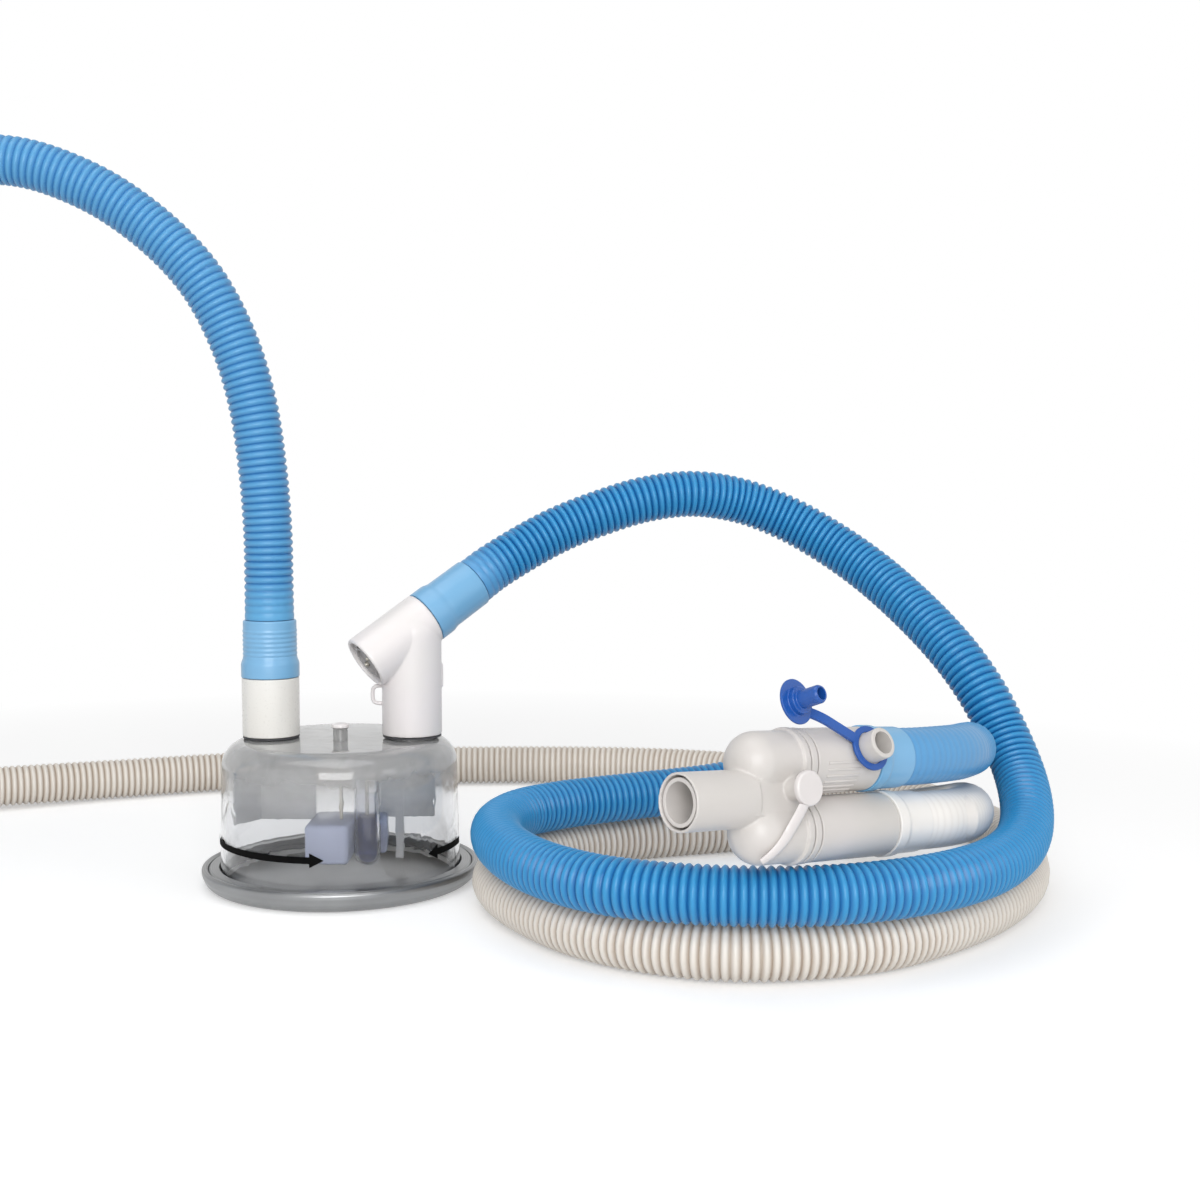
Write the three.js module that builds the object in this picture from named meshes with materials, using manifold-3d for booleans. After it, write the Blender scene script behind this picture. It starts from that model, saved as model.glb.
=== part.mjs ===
// Heated-humidifier breathing circuit: water chamber, dry limb, heated limb, Y-piece and expiratory limb.
// Millimetres, +Z up. The origin is the centre of the chamber's base, on the surface that it stands on.
import * as THREE from 'three';
import { mergeVertices } from 'three/addons/utils/BufferGeometryUtils.js';
import Module from 'manifold-3d';

const wasm = await Module();
wasm.setup();

// ---- driving dimensions ----
const GAP = 0.3; // between pieces that touch on the real object
const SLIDE_GAP = 0.5; // between a moving piece and what guides it
const SIDES = 20; // of a round piece
const WIDE_SIDES = 40; // of the pan and the dome
const SMALL_SIDES = 12; // of pins and small bores

// hoses and the 22 mm fittings that they push onto
const HOSE_RADIUS = 11.9;
const HOSE_WALL = 1.5;
const HOSE_SIDES = 10;
const NOSE_RADIUS = 11; // the 22 mm male fitting
const NOSE_WALL = 1.8;
const NOSE_BORE = NOSE_RADIUS - NOSE_WALL;
const NOSE_LENGTH = 14;
const CUFF_WALL = 1.4;
const CUFF_FLARE_SHARE = 0.25; // of a soft cuff's length
const CUFF_NECK_SHARE = 0.35;
const CUFF_NECK_TAPER = 0.7; // of the whole taper, over the neck
const END_CUFF_WALL = 2.5;
const END_CUFF_RADIUS = NOSE_RADIUS + END_CUFF_WALL;
const END_CUFF_LENGTH = 34;
const END_CUFF_SHOULDER = 6;
const END_SOCKET_DEPTH = 24;

// dome
const DOME_RADIUS = 57.6;
const DOME_TAPER = 1.2;
const DOME_WALL = 2;
const DOME_DECK = 70;
const DOME_SHOULDER = 12;
const DOME_FLANGE = 3;
const FLANGE_THICKNESS = 2.2;
const SEAL_THICKNESS = 2;
const INLET_X = -33.3;
const OUTLET_X = 35;
const SPIGOT_LENGTH = 25;
const SPIGOT_TOP = DOME_DECK + SPIGOT_LENGTH;

// base pan
const PAN_MARGIN = 8.9; // from the dome's wall to the rim
const PAN_RADIUS = DOME_RADIUS + PAN_MARGIN;
const PAN_FOOT_INSET = 8;
const PAN_FOOT_RADIUS = PAN_RADIUS - PAN_FOOT_INSET;
const PAN_HEIGHT = 9.8;
const PAN_FLOOR = 2;
const PAN_RIM_WALL = 3;
const PAN_FOOT_ROUND = 7;
const PAN_FOOT_STEP = 0.6;
const PAN_RIM_ROUND = 1.6;
const CLAMP_CHAMFER = 0.8;

// water feed, fill tube and the two floats
const FEED_X = 1.6;
const FEED_Y = -9;
const FEED_RADIUS = 3.5;
const FEED_BORE = 1.7;
const FEED_HEIGHT = 6;
const FEED_PLUG_DEPTH = 5;
const FEED_PLUG_LIP = 0.7;
const FEED_PLUG_HEAD = 2.4;
const FILL_X = 13.5;
const FILL_Y = -6;
const FILL_RADIUS = 6.3;
const FILL_WALL = 1.2;
const FILL_BOTTOM = 9;
const FILL_SLOT_BOTTOM = 45;
const FILL_SLOT_HEIGHT = 10;
const FLOAT_WIDTH = 36;
const FLOAT_DEPTH = 34;
const FLOAT_X = 4;
const FLOAT_BOTTOM = 12.6;
const FLOAT_TOP = 31.7;
const PRIMARY_TRAVEL = 8;
const SECONDARY_TOP = 33;
const SECONDARY_TRAVEL = 4;
const PIN_RADIUS = 0.9;
const SEAT_BORE = 1.4;
const SEAT_HEIGHT = 4;
const SEAT_WALL = 1.6;

// baffles
const BAFFLE_THICKNESS = 1.6;
const INLET_BAFFLE_WIDTH = 28;
const INLET_BAFFLE_Y = 14;
const INLET_BAFFLE_BOTTOM = 27;
const INLET_BAFFLE_X = -28.5;
const SHELF_DROP = 14.7; // from the underside of the deck
const SHELF_DEPTH = 8.2;
const WING_LENGTH = 18;
const WING_TURN = 56.3; // degrees from the plate, towards the dome's wall
const WING_HEIGHT = 25;
const OUTLET_BAFFLE_X = 31;
const OUTLET_BAFFLE_WIDTH = 27;
const OUTLET_BAFFLE_Y = 13;
const OUTLET_BAFFLE_BOTTOM = 28.6;
const OUTLET_BAFFLE_DROP = 4; // from the underside of the deck
const POST_X = 27;
const POST_WIDTH = 4;
const POST_DEPTH = 3;
const POST_BOTTOM = 8;

// inlet adapter and the dry limb's cuff
const ADAPTER_WALL = 2.7;
const ADAPTER_RADIUS = NOSE_RADIUS + ADAPTER_WALL;
const ADAPTER_BOTTOM = DOME_DECK + 1.5;
const ADAPTER_LENGTH = 28.1;
const ADAPTER_TOP = ADAPTER_BOTTOM + ADAPTER_LENGTH;
const DRY_CUFF_LENGTH = 27.5;
const DRY_CUFF_RADIUS = NOSE_RADIUS + 1.7;
const DRY_CUFF_FLARE = NOSE_RADIUS + 2.9;
const SEAL_GROOVE_DEPTH = 1.4;
const SEAL_GROOVE_HEIGHT = 2.4;
const SEAL_GROOVE_RISE = 8; // above the fitting's lower end

// elbow
const LEG_WALL = 3.4;
const LEG_RADIUS = NOSE_RADIUS + LEG_WALL;
const LEG_BOTTOM = DOME_DECK + 2;
const LEG_LENGTH = 51;
const ELBOW_HEIGHT = LEG_BOTTOM + LEG_LENGTH; // where the arm's axis crosses the leg's
const ARM_RADIUS = NOSE_RADIUS + 2.4;
const ARM_TURN = 29; // degrees about +Z from +X
const ARM_RISE = 33; // degrees above level
const ARM_BACK = 28.5;
const ARM_FRONT = 9;
const ARM_WALL = 2;
const KNUCKLE_DROP = 3;
const SOCKET_RADIUS = ARM_RADIUS - ARM_WALL;
const SOCKET_DEPTH = 4;
const CAP_THICKNESS = 1.8;
const CONTACT_RADIUS = 1.2;
const CONTACT_OFFSET = 4.5;
const CONTACT_PROUD = 1.4;
const HEATED_CUFF_LENGTH = 30;
const HEATED_CUFF_END = NOSE_RADIUS + 1.3;
const CLIP_HEIGHT = 10;
const CLIP_REACH = 5.4;
const CLIP_BAR = 1.5;
const CLIP_CHAMFER = 2;
const CLIP_DEPTH = 3;
const CLIP_BOTTOM = LEG_BOTTOM + 13.6;

// Y-piece, in its own frame: +X towards the hoses, +Z from the lower limb to the upper one
const WYE_PLACE = [154, -204, 79.5];
const WYE_TURN = [-10, 4.5, 38]; // degrees about X, then Y, then Z
const LOBE_WALL = 2;
const LOBE_RADIUS = NOSE_RADIUS + 2.2;
const LOBE_OVERLAP = 0.1; // of each lobe with the middle plane
const LIMB_HALF_SPACING = LOBE_RADIUS - LOBE_OVERLAP;
const PATIENT_RADIUS = 11;
const PATIENT_WALL = 1;
const PATIENT_BORE = PATIENT_RADIUS - PATIENT_WALL;
const PATIENT_LENGTH = 32;
const SLEEVE_RADIUS = PATIENT_BORE - 0.9;
const SLEEVE_WALL = 1.5;
const SLEEVE_BORE = SLEEVE_RADIUS - SLEEVE_WALL;
const SLEEVE_LENGTH = 20;
const SLEEVE_FLANGE = 1.6;
const LOBE_FRONT = 28;
const LOBE_BACK = 56.3;
const LOBE_ROUND = 11;
const LOBE_STEP = 1.1; // from the lobe up to its collar
const COLLAR_LENGTH = 3;
const WEB_INSET = 2.9; // of its faces from the lobes' width
const WEB_START = 2; // behind the lobes' front
const THROAT_RADIUS = PATIENT_BORE - 0.8;
const THROAT_DEPTH = 12; // past the lobes' front
const RING_RADIUS = LIMB_HALF_SPACING - GAP / 2;
const RING_LENGTH = 4.1;
const LIMB_RADIUS = NOSE_RADIUS + 1.7;
const LIMB_SPIGOT = 15;
const UPPER_LIMB_END = 96;
const LOWER_LIMB_END = 104;
const WYE_CUFF_LENGTH = 20;
const WYE_CUFF_RADIUS = NOSE_RADIUS + 2.3;
const WYE_CUFF_END = NOSE_RADIUS + 1.4;

// temperature-probe port and its tethered cap
const PROBE_X = 88;
const PROBE_TILT = 15; // degrees from -Y towards +Z
const PROBE_RADIUS = 6.1;
const PROBE_BORE = 4.5;
const PROBE_LENGTH = 9; // above the limb's wall
const PROBE_MOUTH = LIMB_RADIUS + PROBE_LENGTH;
const EYE_RISE = 1; // above the limb's wall
const EYE_LEVEL = LIMB_RADIUS + EYE_RISE;
const STRAP_THICKNESS = 1.3;
const STRAP_WIDTH = 4;
const EYE_WIDTH = 2.6;
const PROBE_CAP_RADIUS = 8.9;
const PROBE_CAP_THICKNESS = 2;
const PROBE_COLLAR_RADIUS = 5.4;
const PROBE_COLLAR_HEIGHT = 2.5;
const PROBE_PLUG_RADIUS = 3.6;
const PROBE_PLUG_LENGTH = 12;
const PROBE_PLUG_BORE = 2.4;
const PROBE_STRAP_TURN = -30; // degrees about the port, from -X
const PROBE_HINGE_REACH = 19;
const PROBE_HINGE_DROP = 6.3;
const PROBE_CAP_OPEN = 172; // degrees

// monitoring port and its tethered cap
const MONITOR_X = 49;
const MONITOR_Z = 2.8;
const MONITOR_RADIUS = 4.6;
const MONITOR_BORE = 2.9;
const MONITOR_LENGTH = 3.3; // above the lobe's wall
const MONITOR_MOUTH = LOBE_RADIUS + MONITOR_LENGTH;
const MONITOR_CAP_RADIUS = 6.7;
const MONITOR_CAP_THICKNESS = 2.4;
const MONITOR_PLUG_RADIUS = 2.1;
const MONITOR_PLUG_LENGTH = 3.4;
const MONITOR_STRAP_STEPS = 8;
const MONITOR_STRAP_FROM = 22; // degrees round the lower lobe, from -Y towards +Z
const MONITOR_STRAP_TURN = 66;
const MONITOR_STRAP_SHIFT = 5; // of its upper end from the port
const MONITOR_STRAP_RUN = 15;
const MONITOR_STRAP_LEAN = 41; // degrees, of its width from the lobe's axis

// Routes of the three hoses' middles, chosen by hand. Each starts and ends in line with its fitting.
const DRY_ROUTE = [
  [-33.3, 0, 127.7], [-33.3, 0, 146], [-33.5, 0, 170], [-35.5, 0, 200], [-40, 0, 232], [-49, 0, 262],
  [-64, 0, 290], [-87, 0, 314], [-118, 0, 334], [-155, 0, 345], [-196, 2, 340], [-234, 6, 320],
  [-264, 11, 287], [-283, 17, 247], [-292, 24, 205], [-297, 32, 160], [-303, 42, 115], [-315, 54, 75],
  [-336, 70, 44], [-366, 90, 23], [-402, 112, 14.2], [-432, 130, 14],
];
const HEATED_ROUTE = [
  [64.05, 16.1, 144.57], [73.88, 21.55, 151.86], [102.7, 34.5, 168.3], [126, 41.5, 177.6],
  [149.9, 47.5, 184.6], [174.6, 53, 187.1], [199.2, 58.5, 183.2], [222.4, 58, 174.3], [243.8, 51, 162],
  [262.4, 39.5, 148.4], [278.4, 24, 133.4], [292.3, 8, 117.7], [301.8, -3.5, 104.5], [310, -13, 90],
  [317, -23, 73], [320.5, -38, 57.5], [318, -60, 46], [308.5, -88, 39], [291, -118, 36.5],
  [270, -141.5, 36.4], [244, -158.5, 36.4], [214, -169, 36.4], [184, -170.5, 36.4], [155, -165.5, 36.4],
  [127, -153, 36.4], [105, -131, 36.4], [90, -104, 36.4], [80.5, -70, 36.4], [80, -42, 36.4],
  [89, -16.5, 36.4], [110, 4.5, 36.4], [144, 25, 36.4], [178, 41, 37.2], [209, 47.5, 41],
  [236, 43, 46.5], [258, 29.5, 52], [275, 10, 57.5], [286, -11, 63.5], [291.5, -34, 69.5],
  [291.5, -58, 74.5], [285.5, -81, 78], [275, -102, 80.2], [255.52, -121.8, 82.16],
  [245, -130.02, 83.21],
];
const EXPIRATORY_ROUTE = [
  [252.49, -129.94, 56.86], [263.01, -121.72, 55.81], [277, -103, 53.2], [286.5, -79, 50], [291, -52, 46],
  [291.5, -27, 40.5], [287, -3, 34.5], [276, 20, 28], [257, 41, 21.5], [233, 54.5, 16], [206, 58.5, 12.6],
  [170, 48.5, 12.2], [134, 34, 12.2], [105, 14, 12.2], [86, -12, 12.2], [79, -43, 12.2], [84, -71, 12.2],
  [97, -100, 12.2], [118, -130, 12.2], [145, -151, 12.2], [175, -161.5, 12.2], [206, -160, 12.2],
  [237, -149, 12.2], [268, -125, 12.2], [295, -94, 12.2], [316, -57, 12.2], [328, -17, 12.2],
  [333, 26, 12.2], [328, 70, 12.2], [314, 113, 12.2], [291, 152, 12.2], [260, 188.5, 12.2],
  [207, 225, 12.2], [150, 243, 12.2], [87, 247.5, 12.2], [20, 245, 12.2], [-46, 236.5, 12.2],
  [-111, 221, 12.2], [-168, 198, 12.3], [-215, 174.5, 13.2], [-250, 157, 14],
];
const DRY_STEPS = 16;
const HEATED_STEPS = 28;
const EXPIRATORY_STEPS = 36;

const UP = new THREE.Vector3(0, 0, 1);
const rad = THREE.MathUtils.degToRad;

// ---- materials ----
function plastic(color, roughness, extra = {}) {
  return new THREE.MeshStandardMaterial({ color, roughness, metalness: 0, ...extra });
}
const aluminium = new THREE.MeshStandardMaterial({ color: 0x9a9c9e, roughness: 0.4, metalness: 0.9 });
const clear = plastic(0xdfe3e6, 0.1, { transparent: true, opacity: 0.35 });
const silicone = plastic(0xd8d8d4, 0.6);
const violet = plastic(0x9aa0dc, 0.3, { transparent: true, opacity: 0.6 });
const baffleGrey = plastic(0xb4b6b8, 0.5);
const cream = plastic(0xe6e1d8, 0.45);
const hoseBlue = plastic(0x3f8fd6, 0.45);
const cuffBlue = plastic(0x62a8e8, 0.5);
const capBlue = plastic(0x2456c8, 0.45);
const paleGrey = plastic(0xe9e6e4, 0.4);
const brass = new THREE.MeshStandardMaterial({ color: 0xc8a860, roughness: 0.3, metalness: 1 });

// ---- solids ----
// The closed solid of a geometry, its faces turned outwards.
function solid(geometry) {
  const bare = geometry.clone();
  bare.deleteAttribute('normal');
  bare.deleteAttribute('uv');
  const merged = mergeVertices(bare);
  const place = merged.getAttribute('position');
  const corner = [0, 1, 2].map(() => new THREE.Vector3());
  const triangles = [];
  let volume = 0;
  for (let i = 0; i < merged.index.count; i += 3) {
    const triangle = [0, 1, 2].map((k) => merged.index.getX(i + k));
    if (new Set(triangle).size === 3) {
      corner.forEach((c, k) => c.fromBufferAttribute(place, triangle[k]));
      volume += corner[0].dot(corner[1].cross(corner[2]));
      triangles.push(triangle);
    }
  }
  const outward = volume > 0 ? triangles : triangles.map(([a, b, c]) => [a, c, b]);
  const mesh = new wasm.Mesh({
    numProp: 3,
    vertProperties: new Float32Array(place.array),
    triVerts: new Uint32Array(outward.flat()),
  });
  return new wasm.Manifold(mesh);
}

// A solid of revolution about +Z, from (radius, height) pairs that close on the axis or on themselves.
function turned(profile, sides = SIDES) {
  const points = profile.map(([r, z]) => new THREE.Vector2(r, z));
  if (points[0].x > 0 || points[points.length - 1].x > 0) points.push(points[0].clone());
  return new THREE.LatheGeometry(points, sides).rotateX(Math.PI / 2);
}

function rod(radius, from, to, sides = SIDES) {
  return turned([[0, from], [radius, from], [radius, to], [0, to]], sides);
}

function tube(radius, bore, from, to, sides = SIDES) {
  return turned([[bore, from], [radius, from], [radius, to], [bore, to]], sides);
}

function box(x, y, z, width, depth, height) {
  return new THREE.BoxGeometry(width, depth, height).translate(x, y, z + height / 2);
}

// A geometry made about +Z, laid along an axis through a place.
function along(geometry, place, axis) {
  const turn = new THREE.Quaternion().setFromUnitVectors(UP, axis);
  return geometry.applyQuaternion(turn).translate(place.x, place.y, place.z);
}

// Points of a quarter round on a profile, between two angles in degrees.
function round(r, z, radius, from, to, steps = 3) {
  return Array.from({ length: steps + 1 }, (_, i) => {
    const angle = rad(from + ((to - from) * i) / steps);
    return [r + radius * Math.cos(angle), z + radius * Math.sin(angle)];
  });
}

function cut(body, ...tools) {
  return tools.reduce((left, tool) => left.subtract(solid(tool)), body);
}

function join(first, ...rest) {
  return rest.reduce((whole, piece) => whole.add(solid(piece)), solid(first));
}

// A named sub-part.
function part(name, shape, material) {
  const { numProp, vertProperties, triVerts } = shape.getMesh();
  const geometry = new THREE.BufferGeometry();
  geometry.setAttribute('position', new THREE.BufferAttribute(new Float32Array(vertProperties), numProp));
  geometry.setIndex(new THREE.BufferAttribute(new Uint32Array(triVerts), 1));
  geometry.computeVertexNormals();
  const mesh = new THREE.Mesh(geometry, material.clone());
  mesh.name = name;
  return mesh;
}

// ---- humidifier chamber ----
const floorTop = PAN_FLOOR;
const sealTop = floorTop + GAP + SEAL_THICKNESS;
const flangeBottom = sealTop + GAP;
const flangeTop = flangeBottom + FLANGE_THICKNESS;
const flangeRadius = DOME_RADIUS + DOME_FLANGE;
const rimInner = PAN_RADIUS - PAN_RIM_WALL;

function basePlate() {
  const profile = [
    [0, 0],
    [PAN_FOOT_RADIUS, 0],
    ...round(PAN_FOOT_RADIUS + PAN_FOOT_STEP, PAN_FOOT_ROUND, PAN_FOOT_ROUND, -70, -20),
    [PAN_RADIUS, PAN_FOOT_ROUND],
    ...round(PAN_RADIUS - PAN_RIM_ROUND, PAN_HEIGHT - PAN_RIM_ROUND, PAN_RIM_ROUND, 10, 170, 4),
    [rimInner, flangeBottom],
    [flangeRadius + GAP, floorTop],
    [0, floorTop],
  ];
  return part('base_plate', solid(turned(profile, WIDE_SIDES)), aluminium);
}

function baseSeal() {
  const inner = DOME_RADIUS - DOME_WALL;
  return part('base_seal', solid(tube(flangeRadius, inner, floorTop + GAP, sealTop, WIDE_SIDES)), silicone);
}

function clampRing() {
  const from = flangeTop + GAP;
  const top = PAN_HEIGHT - GAP;
  const inner = DOME_RADIUS + 2 * GAP;
  const outer = rimInner - GAP;
  const profile = [
    [inner, from],
    [outer, from],
    [outer, top - CLAMP_CHAMFER],
    [outer - CLAMP_CHAMFER, top],
    [inner, top],
  ];
  return part('clamp_ring', solid(turned(profile, WIDE_SIDES)), aluminium);
}

function domeShell() {
  const corner = DOME_DECK - DOME_SHOULDER;
  const middle = DOME_RADIUS - DOME_TAPER - DOME_SHOULDER;
  const inside = DOME_SHOULDER - DOME_WALL;
  const shell = turned([
    [flangeRadius, flangeBottom],
    [flangeRadius, flangeTop],
    [DOME_RADIUS, flangeTop],
    ...round(middle, corner, DOME_SHOULDER, 0, 90),
    [0, DOME_DECK],
    [0, DOME_DECK - DOME_WALL],
    ...round(middle, corner, inside, 90, 0),
    [DOME_RADIUS - DOME_WALL, flangeBottom],
  ], WIDE_SIDES);
  const under = DOME_DECK - DOME_WALL;
  const feedTop = DOME_DECK + FEED_HEIGHT;
  const atPorts = (make) => [INLET_X, OUTLET_X].map((x) => make().translate(x, 0, 0));
  const spigots = atPorts(() => rod(NOSE_RADIUS, under + 0.5, SPIGOT_TOP));
  const bores = atPorts(() => rod(NOSE_BORE, under - 1, SPIGOT_TOP + 1));
  const nipple = rod(FEED_RADIUS, under + 0.5, feedTop, SMALL_SIDES).translate(FEED_X, FEED_Y, 0);
  const feed = rod(FEED_BORE, under - 1, feedTop + 1, SMALL_SIDES).translate(FEED_X, FEED_Y, 0);
  return part('dome_shell', cut(join(shell, ...spigots, nipple), ...bores, feed), clear);
}

function feedPlug() {
  const top = DOME_DECK + FEED_HEIGHT;
  const profile = [
    [0, top - FEED_PLUG_DEPTH],
    [FEED_BORE - GAP, top - FEED_PLUG_DEPTH + 1],
    [FEED_BORE - GAP, top + GAP],
    [FEED_RADIUS + FEED_PLUG_LIP, top + GAP],
    [FEED_RADIUS + FEED_PLUG_LIP, top + FEED_PLUG_HEAD - 0.8],
    [FEED_RADIUS - 0.4, top + FEED_PLUG_HEAD],
    [0, top + FEED_PLUG_HEAD],
  ];
  return part('feed_plug', solid(turned(profile, SMALL_SIDES).translate(FEED_X, FEED_Y, 0)), paleGrey);
}

const fillTop = DOME_DECK - DOME_WALL - GAP;
const fillInner = FILL_RADIUS - FILL_WALL;
const secondaryRadius = fillInner - SLIDE_GAP;

function fillTube() {
  const profile = [
    ...round(0, FILL_BOTTOM + FILL_RADIUS, FILL_RADIUS, -90, 0),
    [FILL_RADIUS, fillTop],
    [fillInner, fillTop],
    ...round(0, FILL_BOTTOM + FILL_RADIUS, fillInner, 0, -90),
  ];
  const slot = box(0, -FILL_RADIUS, FILL_SLOT_BOTTOM, fillInner, FILL_RADIUS, FILL_SLOT_HEIGHT);
  return part('fill_tube', cut(solid(turned(profile)), slot).translate([FILL_X, FILL_Y, 0]), clear);
}

// The wide float lies beside and behind the fill tube.
function primaryFloat() {
  const block = box(FLOAT_X, FILL_Y, FLOAT_BOTTOM, FLOAT_WIDTH, FLOAT_DEPTH, FLOAT_TOP - FLOAT_BOTTOM);
  const room = FILL_RADIUS + SLIDE_GAP;
  const corner = box(FILL_X - room + FLOAT_WIDTH / 2, FILL_Y + room - FLOAT_DEPTH / 2, 0, FLOAT_WIDTH,
    FLOAT_DEPTH, DOME_DECK);
  return part('primary_float', cut(solid(block), corner), violet);
}

const seatBottom = fillTop - SEAT_HEIGHT;

function primaryValvePin() {
  const pin = rod(PIN_RADIUS, FLOAT_TOP + GAP, seatBottom - PRIMARY_TRAVEL - SLIDE_GAP, SMALL_SIDES);
  return part('primary_valve_pin', solid(pin.translate(FEED_X, FEED_Y, 0)), brass);
}

function primaryValveSeat() {
  const seat = tube(SEAT_BORE + SEAT_WALL, SEAT_BORE, seatBottom, fillTop, SMALL_SIDES);
  return part('primary_valve_seat', solid(seat.translate(FEED_X, FEED_Y, 0)), silicone);
}

function secondaryFloat() {
  const bottom = FILL_BOTTOM + FILL_WALL + GAP;
  const profile = [
    ...round(0, bottom + secondaryRadius, secondaryRadius, -90, 0),
    [secondaryRadius, SECONDARY_TOP],
    [0, SECONDARY_TOP],
  ];
  return part('secondary_float', solid(turned(profile).translate(FILL_X, FILL_Y, 0)), violet);
}

function secondaryValvePin() {
  const pin = rod(PIN_RADIUS, SECONDARY_TOP + GAP, seatBottom - SECONDARY_TRAVEL - SLIDE_GAP, SMALL_SIDES);
  return part('secondary_valve_pin', solid(pin.translate(FILL_X, FILL_Y, 0)), brass);
}

function secondaryValveSeat() {
  const seat = tube(fillInner - GAP, SEAT_BORE, seatBottom, fillTop);
  return part('secondary_valve_seat', solid(seat.translate(FILL_X, FILL_Y, 0)), silicone);
}

function inletBaffle() {
  const plate = box(INLET_BAFFLE_X, INLET_BAFFLE_Y, INLET_BAFFLE_BOTTOM, INLET_BAFFLE_WIDTH,
    BAFFLE_THICKNESS, fillTop - INLET_BAFFLE_BOTTOM);
  const shelf = box(INLET_BAFFLE_X, INLET_BAFFLE_Y - SHELF_DEPTH / 2, fillTop - SHELF_DROP,
    INLET_BAFFLE_WIDTH, SHELF_DEPTH, BAFFLE_THICKNESS);
  const wing = box(-WING_LENGTH / 2, 0, INLET_BAFFLE_BOTTOM, WING_LENGTH, BAFFLE_THICKNESS, WING_HEIGHT);
  wing.rotateZ(rad(WING_TURN)).translate(INLET_BAFFLE_X - INLET_BAFFLE_WIDTH / 2, INLET_BAFFLE_Y, 0);
  return part('inlet_baffle', join(plate, shelf, wing), baffleGrey);
}

function outletBaffle() {
  const post = box(POST_X, OUTLET_BAFFLE_Y, POST_BOTTOM, POST_WIDTH, POST_DEPTH,
    fillTop - POST_BOTTOM);
  const plate = box(OUTLET_BAFFLE_X, OUTLET_BAFFLE_Y, OUTLET_BAFFLE_BOTTOM, OUTLET_BAFFLE_WIDTH,
    BAFFLE_THICKNESS, fillTop - OUTLET_BAFFLE_DROP - OUTLET_BAFFLE_BOTTOM);
  return part('outlet_baffle', join(post, plate), baffleGrey);
}

// ---- fittings on the chamber ----
// A ring seal that lies in a groove round a 22 mm spigot.
function ringSeal(name, x, height) {
  const inner = NOSE_RADIUS + GAP;
  const outer = inner + SEAL_GROOVE_DEPTH - GAP;
  const ring = tube(outer, inner, height + GAP, height + SEAL_GROOVE_HEIGHT - GAP);
  return part(name, solid(ring.translate(x, 0, 0)), silicone);
}

const socketTop = SPIGOT_TOP + GAP;
const grooveHeight = ADAPTER_BOTTOM + SEAL_GROOVE_RISE;

function sealGroove(height) {
  return rod(NOSE_RADIUS + GAP + SEAL_GROOVE_DEPTH, height, height + SEAL_GROOVE_HEIGHT);
}

function inletCuff() {
  const body = turned([
    [0, ADAPTER_BOTTOM],
    [ADAPTER_RADIUS, ADAPTER_BOTTOM],
    [ADAPTER_RADIUS, ADAPTER_TOP],
    [NOSE_RADIUS, ADAPTER_TOP],
    [NOSE_RADIUS, ADAPTER_TOP + NOSE_LENGTH],
    [0, ADAPTER_TOP + NOSE_LENGTH],
  ]);
  const socket = rod(NOSE_RADIUS + GAP, ADAPTER_BOTTOM - 1, socketTop);
  const bore = rod(NOSE_BORE, socketTop - 1, ADAPTER_TOP + NOSE_LENGTH + 1);
  const shape = cut(solid(body), socket, bore, sealGroove(grooveHeight));
  return part('inlet_cuff', shape.translate([INLET_X, 0, 0]), cream);
}

// A soft cuff about +Z from its mouth at 0: it grips a nose and then holds the hose's end.
function softCuff(length, mouthRadius, endRadius) {
  return turned([
    [NOSE_RADIUS + GAP, 0],
    [mouthRadius, 0],
    [mouthRadius, length * CUFF_FLARE_SHARE],
    [mouthRadius - (mouthRadius - endRadius) * CUFF_NECK_TAPER, length * CUFF_NECK_SHARE],
    [endRadius, length],
    [NOSE_RADIUS - CUFF_WALL, length],
    [NOSE_RADIUS - CUFF_WALL, NOSE_LENGTH + GAP],
    [NOSE_RADIUS + GAP, NOSE_LENGTH + GAP],
  ]);
}

function dryLineCuff() {
  const cuff = softCuff(DRY_CUFF_LENGTH, DRY_CUFF_FLARE, DRY_CUFF_RADIUS);
  return part('dry_line_cuff', solid(cuff.translate(INLET_X, 0, ADAPTER_TOP + GAP)), cuffBlue);
}

// ---- elbow ----
const elbow = new THREE.Vector3(OUTLET_X, 0, ELBOW_HEIGHT);
const arm = new THREE.Vector3(1, 0, 0)
  .applyAxisAngle(new THREE.Vector3(0, 1, 0), -rad(ARM_RISE))
  .applyAxisAngle(UP, rad(ARM_TURN));
const onArm = (geometry) => along(geometry, elbow, arm);

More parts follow.
